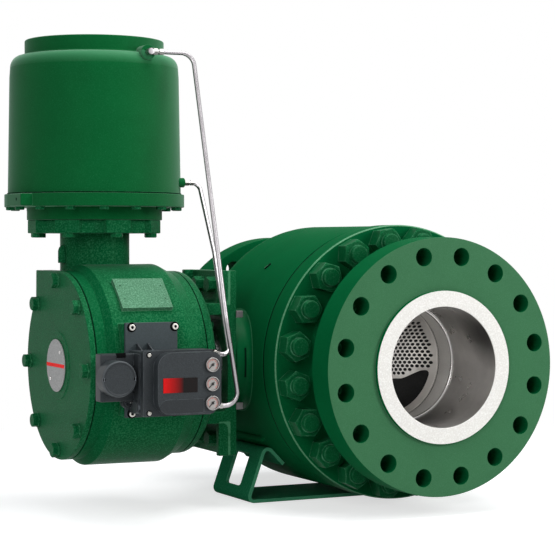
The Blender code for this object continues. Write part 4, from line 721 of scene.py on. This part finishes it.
foot.modifiers.new("even_shading", "WEIGHTED_NORMAL").keep_sharp = True

# Yoke: a green casting that holds the actuator on the valve's left boss, a plate and a flange joined
# by two shelves. Four bolts hold its plate to the boss, and four nuts its flange to the actuator.
YOKE_IN, YOKE_OUT, PLATE_X, YOKE_FLANGE_X, SHELF, SHELF_IN = -0.3303, -0.4177, -0.3513, -0.400, 0.130, 0.105
yoke = bmesh.new()
upper = [(PLATE_X, 0.200), (PLATE_X, SHELF + 0.012)]
upper += arc(PLATE_X - 0.012, SHELF + 0.012, 0.012, 0, -90, 5)[1:] + [(YOKE_OUT, SHELF)]
rim = [(YOKE_IN, -0.200), (YOKE_IN, 0.200), *upper, *[(x, -z) for x, z in reversed(upper)]]
gap = [*arc(PLATE_X - 0.014, SHELF_IN - 0.014, 0.014, 0, 90, 5),
       *arc(YOKE_FLANGE_X + 0.012, SHELF_IN - 0.012, 0.012, 90, 180, 5)]
gap += [(x, -z) for x, z in reversed(gap)]
cut_plate(yoke, [rim, gap], "Y", -0.100, 0.100, 0.0022)
for side in (-1, 1):
    for up in (-1, 1):
        low_y, high_y = sorted((side * 0.1003, side * 0.085))
        low_z, high_z = sorted((up * (SHELF - 0.004), up * 0.2003))
        block(yoke, (-0.3723, low_y, low_z), (-0.345, high_y, high_z), 0.002)
for low_z in (0.0985, -0.1005):
    block(yoke, (YOKE_IN - 0.002, -0.104, low_z), (-0.3165, -0.092, low_z + 0.0145), 0.001, 1)
pin_grey = metal("pin_grey", (0.20, 0.19, 0.195), 0.5, along="X", stain=0.3)
set_piece("yoke_casting", yoke, (casting, pin_grey), ["mounting_yoke"])
yoke_bolts = bmesh.new()
for up in (-1, 1):
    for side in (-1, 1):
        stand = standing((PLATE_X - 0.0001, side * 0.035, up * 0.169), "X", -1, radians(30))
        peg(yoke_bolts, 0.0175, 0, 0.003, stand)
        hexagon(yoke_bolts, 0.030, 0.0215, stand, low=0.002)
        stand = standing((YOKE_FLANGE_X + 0.0001, side * 0.072, up * 0.082), "X", 1)
        hexagon(yoke_bolts, 0.024, 0.019, stand)
        peg(yoke_bolts, 0.008, 0.01, 0.025, stand)
set_piece("yoke_bolts", yoke_bolts, (casting,), sharp=30)

# Actuator housing: a rough green casting, a drum round the lever with a square corner at its mouth,
# a neck up to the cylinder with a lobed bolting flange, a name pad and a pad for the positioner.
DRUM_REAR, DRUM_MOUTH, DRUM_R, MOUTH_R = -0.418, -0.688, 0.2147, 0.200
CYLINDER_AXIS = Vector((-0.581, 0.100, 0.314))
drum = bmesh.new()
lathe(drum, [(0.0355, DRUM_REAR), (0.199, DRUM_REAR, 0.017), (0.199, -0.4405, 0), (0.1978, -0.4418, 0),
             (0.199, -0.4431, 0), (0.199, -0.460, 0.002), (DRUM_R, -0.490, 0.0014), (0.2135, -0.652, 0.0012),
             (0.1995, -0.667, 0.0008), (0.1985, -0.680), (0.170, -0.680), (0.170, -0.664), (0.196, -0.655),
             (0.196, -0.475), (0.0355, -0.475)], "X", steps=180)
mouth_rim = [(0.140, 0.2006), (0.015, 0.2006)] + arc(0, 0, MOUTH_R, 86.5, 360 + 45, 150)
cut_plate(drum, [mouth_rim, circle(0.166, 72)], "X", DRUM_MOUTH, -0.665, 0.0014)
land_on_pipe(drum, CYLINDER_AXIS, 0.076, "Z", 1, 0.290,
             lambda a, b: sqrt(max((DRUM_R - 0.0012) ** 2 - (b + 0.100) ** 2, 0)), flare=0.005)
lobes = []
for turn, _, _ in around(8, 1):
    for step, radius in ((-13, 0.134), (-11, 0.148), (11, 0.148), (13, 0.134)):
        lobes.append((radius * cos(turn + radians(step)), radius * sin(turn + radians(step))))
cut_plate(drum, [lobes], "Z", 0.281, 0.3097, 0.0022, CYLINDER_AXIS)
name_pad = [[(-0.627, -0.042), (-0.515, -0.042), (-0.515, 0.042), (-0.627, 0.042)]]
name_pad += [circle(0.0016, 10, x, z) for x in (-0.6155, -0.5245) for z in (0.022, -0.016)]
cut_plate(drum, name_pad, "Y", -0.2197, -0.195, 0.0008, Vector(), 1,
          turn=Matrix.Translation(PIPE) @ Matrix.Rotation(radians(-45.4), 4, "X"))
block(drum, (-0.641, -0.2167, -0.093), (-0.525, -0.171, 0.096), 0.003)
for face, middle, reach in faces_from(drum, "X"):
    if -0.4432 < middle.x < -0.4404 and reach > 0.1975:
        face.material_index = 2
    elif middle.x < -0.6525 and 0.199 < reach < DRUM_R - 0.0005 and face.material_index == 0:
        face.material_index = 3
set_piece("drum_casting", drum, (casting, lit_pad_enamel, joint_dark, cast_shade), ["actuator_housing"])

# Bolt heads under the neck's flange and the cylinder's base, and the pointed relief plug on the neck.
# All are painted with the castings they hold.
under = bmesh.new()
for count, radius, first, place, flats, height in ((8, 0.1325, 0, 0.2812, 0.024, 0.0095),
                                                   (16, 0.1825, 8, 0.3382, 0.019, 0.0072)):
    for turn, across, along in around(count, radius, first):
        hexagon(under, flats, height, standing((across, along, place), "Z", -1, turn, CYLINDER_AXIS))
lathe(under, [(0, 0.2165), (0.0108, 0.2165), (0.0108, 0.243), (0.0085, 0.250, 0), (0.0045, 0.2545, 0),
              (0, 0.2565)], "Z", Vector((-0.6585, 0.090, 0.314)), 32)
set_piece("housing_bolts", under, (casting,), sharp=30)

# Drum cover: a flat cast plate with a raised ring in the middle, on eight flanged hexagon bolts.
# Its upper far corner is square like the drum's mouth.
cover = bmesh.new()
cut_plate(cover, [mouth_rim, circle(0.0185, 32)], "X", -0.703, -0.6905, 0.0018)
joint_rim = [(across * 0.990, up * 0.990) for across, up in mouth_rim]
cut_plate(cover, [joint_rim, circle(0.0185, 32)], "X", -0.691, -0.6883, 0, finish=1)
lathe(cover, [(0.0185, -0.695), (0.0185, -0.7048), (0.073, -0.7048, 0.0012), (0.073, -0.695)],
      "X", steps=120)
set_piece("drum_cover", cover, (casting, joint_dark), ["housing_cover"])
for number, (turn, across, up) in enumerate(around(8, 0.180, 90)):
    screw = bmesh.new()
    stand = standing((-0.7033, across, up), "X", -1, turn)
    peg(screw, 0.0162, 0.0, 0.003, stand, steps=32)
    hexagon(screw, 0.027, 0.015, stand, low=0.002)
    peg(screw, 0.009, -0.031, 0.001, stand)
    set_piece(f"cover_screw_{number + 1}", screw, (casting,), [f"cover_bolt_{number + 1}"], sharp=28)

# Travel indicator: a matt grey disc on the stem's end with a red line, held by two small screws.
# It turns with the ball, and the line lies along the ball's bore.
matt_grey = paint("matt_grey", (0.30, 0.30, 0.295), (0.52, 0.51, 0.50), grain=420, tint=0.8,
                  roughness=0.55, fleck=0.4, edge=0.2, mottle=0.1)
line_red = paint("line_red", (0.97, 0.004, 0.003), (1.0, 0.03, 0.02), depth=0.00004, tint=0.15,
                 roughness=0.5, specular=0.1, mottle=0.05)
dial = bmesh.new()
lathe(dial, [(0, -0.7051), (0.056, -0.7051), (0.056, -0.7081, 0.0008), (0, -0.7081)], "X", steps=96)
block(dial, (-0.7084, -0.0548, -0.0032), (-0.7075, 0.0548, 0.0046), 0.0003, 1)
for side in (-1, 1):
    peg(dial, 0.0042, 0, 0.0022, standing((-0.7080, side * 0.030, -side * 0.0293), "X", -1), 2,
        hollow=0.0014)
set_piece("travel_indicator", dial, (matt_grey, line_red, bright_steel), ["indicator_plate"],
          "stem_train")

# Lever, rod and piston: machined steel inside the drum and cylinder, hidden once the valve is built.
# Their solids stay as they are and only get their steel.
for name in ("lever", "piston_rod", "piston"):
    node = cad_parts[name]
    for slot_place in node.material_slots:
        slot_place.material = stem_steel

# Cylinder base: a machined ring and hub between the neck's flange and the cylinder, with a stop lug.
# It is painted in the smooth enamel of the cylinder.
base = bmesh.new()
lathe(base, [(0.1768, 0.390), (0.1768, 0.366), (0.1967, 0.366, 0.0016), (0.1967, 0.338, 0.0016),
             (0.148, 0.338), (0.148, 0.310, 0.0014), (0.0205, 0.310), (0.0205, 0.390)],
      "Z", CYLINDER_AXIS, 180)
block(base, (-0.7817, 0.008, 0.3385), (-0.700, 0.092, 0.3655), 0.004)
peg(base, 0.0035, -0.002, 0.0004, standing((-0.7817, 0.036, 0.353), "X", -1), 1, soft=0.0002)
lathe(base, [(0.180, 0.364), (0.1906, 0.364), (0.1906, 0.3686, 0), (0.180, 0.3686)],
      "Z", CYLINDER_AXIS, 180, soft=0.0004, finish=1)
set_piece("base_ring", base, (gloss_enamel, joint_dark), ["cylinder_base"])

# Cylinder: a pressed steel shell with a rolled shoulder and a raised cap, and a boss for each air port.
# Smooth green enamel with a fine pale speckle, and a painted highlight along the shoulder.
shell = bmesh.new()
shoulder = arc(0.162, 0.641, 0.0216, 0, 90, 14, other=0.026)
lathe(shell, [(0, 0.7015), (0.152, 0.7015, 0.003), (0.152, 0.6725, 0), (0.1528, 0.6698, 0),
              (0.155, 0.6682, 0), *[(r, z, 0) for r, z in reversed(shoulder)], (0.1850, 0.620, 0),
              (0.1892, 0.3663, 0.0012), (0.1772, 0.3663), (0.1772, 0.621), (0.142, 0.655), (0, 0.672)],
      "Z", CYLINDER_AXIS, 200)
peg(shell, 0.0160, -0.058, 0.0, standing((-0.527, -0.080, 0.665), "Y", -1), steps=48, soft=0.0018)
peg(shell, 0.0105, -0.016, 0.0, standing((-0.4109, 0.0, 0.392), "X", 1), steps=48, soft=0.0015)
# The rolled shoulder's enamel turns paler towards its top: a painted highlight.
shoulder_highlight_enamel = paint("shoulder_highlight_enamel", GLOSS_GREEN, (0.016, 0.165, 0.060), grain=420, roughness=0.36,
                        fleck=0.25, edge=0.55, specular=0.02, bloom=0.28)
tree = shoulder_highlight_enamel.node_tree
shader = tree.nodes["Principled BSDF"]
height = add_node(tree, "SeparateXYZ", {0: object_place(tree)}).outputs[2]
bright = blend(tree, scaled(tree, height, 0.0, 0.6, 0.953, 0.979),
               shader.inputs["Base Color"].links[0].from_socket, (0.055, 0.230, 0.110, 1))
tree.links.new(bright, shader.inputs["Base Color"])
for face, middle, reach in faces_from(shell, "Z", CYLINDER_AXIS):
    if 0.638 < middle.z < 0.6682 and 0.154 < reach < 0.19:
        face.material_index = 1
set_piece("cylinder_shell", shell, (gloss_enamel, shoulder_highlight_enamel), ["cylinder"])

# Positioner plate: dark powder-coated steel, held to the drum's pad by four bright socket screws
# in seats painted near black as shade.
SLATE = (0.0205, 0.0243, 0.0268)
POWDER = {"grain": 700, "depth": 0.00008, "specular": 0.2}
slate = paint("slate_coat", SLATE, (0.085, 0.100, 0.112), **POWDER, tint=0.25, fleck=0.08, edge=0.5,
              mottle=0.12)
# Near black for seats, sockets, notches and slots: painted shade.
painted_shade_coat = paint("painted_shade_coat", (0.0015, 0.0016, 0.0018), (0.006, 0.006, 0.0065), grain=500, depth=0.00005,
                  roughness=0.6, specular=0.05, mottle=0.1)
bright_socket = metal("socket_steel", (0.62, 0.60, 0.56), 0.35)
plate = bmesh.new()
block(plate, (-0.638, -0.225, -0.095), (-0.523, -0.217, 0.098), 0.0012)
for x, z in ((-0.6244, 0.0887), (-0.5297, 0.0887), (-0.6244, -0.0867), (-0.5297, -0.0867)):
    stand = standing((x, -0.225, z), "Y", -1)
    peg(plate, 0.0100, -0.001, 0.0005, stand, 1, soft=0.0003)
    peg(plate, 0.0066, 0.0, 0.0050, stand, 2, soft=0.0010, hollow=0.0032)
    peg(plate, 0.0032, 0.0, 0.0030, stand, 1, soft=0.0002)
plate_coat = paint("plate_coat", (0.038, 0.050, 0.054), (0.085, 0.105, 0.115), **POWDER, tint=0.3,
                   roughness=0.45, fleck=0.1, edge=0.4, mottle=0.15)
set_piece("mounting_plate", plate, (plate_coat, painted_shade_coat, bright_socket), ["positioner_plate"],
          sharp=30)

# Positioner: a die-cast housing with its terminal box on the left, ribs, a vent plug and a screw lug.
# It is in a dark slate coat, with a strip and small dots painted near black as shade and a bright screw.
case = bmesh.new()
block(case, (-0.631, -0.2908, -0.085), (-0.468, -0.2253, 0.043), 0.004)
block(case, (-0.6345, -0.2870, -0.080), (-0.625, -0.2560, 0.038), 0.0015)
block(case, (-0.706, -0.2618, -0.058), (-0.625, -0.2318, 0.038), 0.003)
block(case, (-0.672, -0.2640, 0.030), (-0.652, -0.2560, 0.0395), 0.0012, 1)
for x in (-0.6127, -0.589):
    fin = [(-0.2253, 0.036), (-0.2253, 0.056), (-0.2285, 0.056), (-0.2540, 0.0425), (-0.2540, 0.036)]
    cut_plate(case, [fin], "X", x - 0.0016, x + 0.0016, 0.0006)
peg(case, 0.0134, -0.006, 0.0035, standing((-0.6345, -0.273, -0.0689), "X", -1), steps=40, soft=0.0016)
peg(case, 0.0118, -0.012, 0.004, standing((-0.638, -0.235, -0.0624), "Y", -1), steps=40, soft=0.001)
peg(case, 0.0080, 0.003, 0.0075, standing((-0.638, -0.235, -0.0624), "Y", -1), steps=32, soft=0.001,
    hollow=0.0045)
block(case, (-0.645, -0.236, -0.074), (-0.625, -0.2253, -0.050), 0.002)
peg(case, 0.0022, 0.0, 0.0085, standing((-0.6325, -0.235, -0.0622), "Y", -1), 2, soft=0.0005)
for z in (0.012, -0.040):
    peg(case, 0.0022, 0.0, 0.0012, standing((-0.6345, -0.262, z), "X", -1), 1, soft=0.0003)
set_piece("positioner_case", case, (slate, painted_shade_coat, bright_steel), ["positioner_body"],
          sharp=30)

# Terminal cap: a round screwed cap with a raised rim and two grip notches.
# It closes the terminal box; its rim is painted paler as a highlight and its notches near black as shade.
cap = bmesh.new()
cap_middle = PIPE + Vector((-0.679, 0, -0.010))
lathe(cap, [(0, -0.2621), (0.0365, -0.2621), (0.0365, -0.2965, 0.0028), (0.0342, -0.3001, 0.0010),
            (0.0318, -0.3001, 0.0010), (0.0306, -0.2982, 0.0008), (0, -0.2982)], "Y", cap_middle, 96)
for side in (-1, 1):
    low, high = sorted((side * 0.0300, side * 0.0352))
    block(cap, (low, -0.3000, -0.0032), (high, -0.296, 0.0032), 0.0008, 1,
          turn=Matrix.Translation(cap_middle))
# Paler coat on the cap's rim: painted highlight.
cap_rim_highlight = paint("cap_rim_painted_highlight", (0.060, 0.068, 0.074), (0.12, 0.13, 0.14), **POWDER, tint=0.25,
                roughness=0.4, fleck=0.05, edge=0.3, mottle=0.12)
for face, middle, reach in faces_from(cap, "Y", cap_middle):
    if reach > 0.0342 and -0.3005 < middle.y < -0.2962 and face.material_index == 0:
        face.material_index = 2
set_piece("round_cap", cap, (slate, painted_shade_coat, cap_rim_highlight), ["terminal_cap"], sharp=30)


# Positioner cover: a cast lid with a raised middle whose left corners are wide curves.
# Screws hold it at its corners, and a plain red and black plate is glued on it.
def rounded(left, right, low, high, left_r, right_r, parts=8):
    """Rectangle with round corners, its lower right one cut flat."""
    return (arc(left + left_r, low + left_r, left_r, 180, 270, parts)
            + [(right - right_r, low), (right, low + right_r)]
            + arc(right - right_r, high - right_r, right_r, 0, 90, parts)
            + arc(left + left_r, high - left_r, left_r, 90, 180, parts))


lid = bmesh.new()
cut_plate(lid, [rounded(-0.631, -0.466, -0.087, 0.045, 0.004, 0.018)], "Y", -0.3031, -0.2911, 0.0016)
cut_plate(lid, [rounded(-0.6085, -0.4702, -0.0832, 0.0412, 0.030, 0.018, 12)],
          "Y", -0.3251, -0.300, 0.0062, segments=4)
# Two areas of the lid face are shaded and lit copies of the slate coat: painted shade on the lower one,
# painted light on the gauge strip.
for finish, sides in ((4, (-0.6055, -0.5090, -0.0803, -0.0530, 0.020, 0.002, 8)),
                      (5, (-0.5082, -0.4735, -0.0795, 0.0375, 0.002, 0.014, 6))):
    cut_plate(lid, [rounded(*sides)], "Y", -0.32535, -0.324, 0, finish=finish)
# Each screw sits in a ring painted near black as shade.
for x, z in ((-0.6185, 0.0365), (-0.6185, -0.0800), (-0.4740, 0.0390)):
    stand = standing((x, -0.3031, z), "Y", -1)
    peg(lid, 0.0062, -0.001, 0.0006, stand, 1, soft=0.0003)
    peg(lid, 0.0042, 0.0, 0.0036, stand, 2, soft=0.0009, hollow=0.0018)
label_plate, tree = new_material("label_plate")
across = add_node(tree, "SeparateXYZ", {0: object_place(tree)}).outputs[0]
fade = scaled(tree, across, 0.0, 1.0, -0.594, -0.553)
speck = scaled(tree, use(tree, cast_grain, {"Scale": 600.0})["Grain"], 0.0, 0.10, 0.45, 0.7)
faded = blend(tree, fade, (0.55, 0.002, 0.002, 1), (0.001, 0.0005, 0.0005, 1))
feed(tree, tree.nodes["Principled BSDF"], {"Base Color": blend(tree, speck, faded, (0.05, 0.004, 0.004, 1)),
                                           "Roughness": 0.45, "Specular IOR Level": 0.15})
block(lid, (-0.5972, -0.3263, -0.0389), (-0.5228, -0.3250, -0.0094), 0.0003, 3)
lit_and_shaded_panels = [paint(name, toned(SLATE, share)[:3], (0.07, 0.08, 0.09), **POWDER, fleck=0.05, mottle=0.12)
          for name, share in (("slate_shade", 0.78), ("slate_painted_light", 1.12))]
set_piece("positioner_lid", lid, (slate, painted_shade_coat, plated_bolt, label_plate, *lit_and_shaded_panels), ["positioner_cover"],
          sharp=30)

# Gauges: three small pressure gauges with steel bezels, white dials with red and black marks,
# and a black pointer that turns in front of each dial.
dial_white = paint("dial_white_face", (0.33, 0.31, 0.295), (0.44, 0.42, 0.40), grain=500, depth=0.00002,
                   tint=0.3, roughness=0.35, mottle=0.08)
pointer_black = paint("pointer_black_coat", (0.006, 0.006, 0.006), (0.02, 0.02, 0.02), grain=400,
                      depth=0.00002, roughness=0.35, edge=0.1, edge_width=0.0005, mottle=0.1)
gauge_steel = metal("gauge_steel", (0.24, 0.23, 0.225), 0.34, along="Y")
mark_red = paint("dial_mark_red", (0.60, 0.09, 0.05), (0.65, 0.15, 0.1), grain=400, depth=0.00002,
                 roughness=0.5, specular=0.1)
for number in range(3):
    middle = PIPE + Vector((-0.491, 0, 0.015 - 0.0385 * number))
    gauge = bmesh.new()
    lathe(gauge, [(0, -0.3254), (0.0150, -0.3254), (0.0150, -0.3306, 0.0008), (0.0142, -0.3314, 0.0005),
                  (0.0128, -0.3314, 0.0004), (0.0122, -0.3284, 0), (0, -0.3284)],
          "Y", middle, 48, soft=0.0003)
    for face, offset, reach in faces_from(gauge, "Y", middle):
        if reach < 0.0121 and offset.y < -0.328:
            face.material_index = 1
    for mark in range(19):
        turn = radians(225 - 15 * mark)
        long_mark = mark % 3 == 0
        reach = 0.0098 if long_mark else 0.0104
        tilt = Matrix.Translation(middle + Vector((cos(turn) * reach, -0.3284, sin(turn) * reach)))
        tilt @= Matrix.Rotation(-turn, 4, "Y")
        half = 0.0018 if long_mark else 0.0011
        block(gauge, (-half, -0.00012, -0.00045), (half, 0.0002, 0.00045), 0, 2, turn=tilt)
    set_piece(f"gauge_face_{number + 1}", gauge, (gauge_steel, dial_white, mark_red),
              [f"gauge_{number + 1}"], sharp=30)
    blade = bmesh.new()
    turn = Matrix.Translation(middle) @ Matrix.Rotation(radians(-225), 4, "Y")
    cut_plate(blade, [[(-0.005, -0.0008), (0.0115, -0.0006), (0.012, 0), (0.0115, 0.0006),
                       (-0.005, 0.0008)]], "Y", -0.3300, -0.3292, 0.0001, Vector(), turn=turn)
    peg(blade, 0.0030, 0, 0.0006, standing((0, -0.3299, 0), "Y", -1, centre=middle), soft=0.0003)
    set_piece(f"gauge_needle_{number + 1}", blade, (pointer_black,), [f"gauge_pointer_{number + 1}"],
              f"pointer_{number + 1}", 30)

# Air tubes: bright drawn stainless tube from the cylinder's two ports down to the positioner's side.
# Compression nuts hold each end.
bright_tube = metal("bright_tube", (0.37, 0.352, 0.365), 0.30, along="Z", marks=100 / 3, depth=0.000005,
                    stain=0.15)
fitting_steel = metal("fitting_steel", (0.24, 0.235, 0.225), 0.30, along="Z", marks=100 / 3, depth=0.000005,
                      stain=0.3)


def tube(bm, corners, bends, radius=0.0048):
    """Round tube through corners given from the ball's centre, each inner corner bent to its radius."""
    line = [Vector(corners[0])]
    for before, corner, after, bend in zip(corners, corners[1:], corners[2:], bends):
        corner = Vector(corner)
        back, ahead = (Vector(before) - corner).normalized(), (Vector(after) - corner).normalized()
        half = back.angle(ahead) / 2
        centre = corner + (back + ahead).normalized() * bend / sin(half)
        start = (corner + back * bend / tan(half) - centre).normalized()
        end = (corner + ahead * bend / tan(half) - centre).normalized()
        line += [centre + start.slerp(end, step / 10) * bend for step in range(11)]
    line.append(Vector(corners[-1]))
    curve = bpy.data.curves.new("tube_line", "CURVE")
    curve.dimensions, curve.bevel_depth, curve.bevel_resolution, curve.use_fill_caps = "3D", radius, 5, True
    spline = curve.splines.new("POLY")
    spline.points.add(len(line) - 1)
    for point, place in zip(spline.points, line):
        point.co = (*(place + PIPE), 1)
    guide = bpy.data.objects.new("tube_line", curve)
    scene.collection.objects.link(guide)
    bpy.context.view_layer.update()
    mesh = bpy.data.meshes.new_from_object(guide.evaluated_get(bpy.context.evaluated_depsgraph_get()))
    bpy.data.objects.remove(guide, do_unlink=True)
    drawn = bmesh.new()
    drawn.from_mesh(mesh)
    bpy.data.meshes.remove(mesh)
    add_shell(bm, drawn)


def fitting(bm, place, axis, sign, length=0.022, flats=0.0135):
    """Compression fitting: a hexagon body, a collar and a second nut, along the tube."""
    stand = standing(place, axis, sign)
    hexagon(bm, flats, length * 0.42, stand, 1)
    peg(bm, flats * 0.36, length * 0.3, length * 0.62, stand, 1, soft=0.0006)
    collar = stand @ Matrix.Translation((0, 0, length * 0.58))
    hexagon(bm, flats * 0.92, length * 0.42, collar, 1)


high = bmesh.new()
tube(high, [(-0.527, -0.0803, 0.665), (-0.527, -0.0925, 0.665), (-0.430, -0.0925, 0.665),
            (-0.442, -0.287, 0.107), (-0.409, -0.281, -0.073), (-0.4657, -0.281, -0.073)],
     (0.008, 0.026, 0.060, 0.026))
peg(high, 0.0072, 0, 0.019, standing((-0.527, -0.0803, 0.665), "Y", -1), soft=0.002)
fitting(high, (-0.521, -0.0925, 0.665), "X", 1)
fitting(high, (-0.4655, -0.281, -0.073), "X", 1, 0.018, 0.012)
set_piece("high_air_tube", high, (bright_tube, fitting_steel), ["tube_top_port"], sharp=30)
low = bmesh.new()
tube(low, [(-0.4106, 0, 0.392), (-0.375, 0, 0.392), (-0.386, -0.106, 0.240), (-0.4225, -0.262, 0.031),
           (-0.4657, -0.262, 0.031)], (0.018, 0.060, 0.018))
fitting(low, (-0.4106, 0, 0.392), "X", 1, 0.026, 0.0125)
fitting(low, (-0.4655, -0.262, 0.031), "X", 1, 0.020, 0.0145)
set_piece("low_air_tube", low, (bright_tube, fitting_steel), ["tube_low_port"], sharp=30)
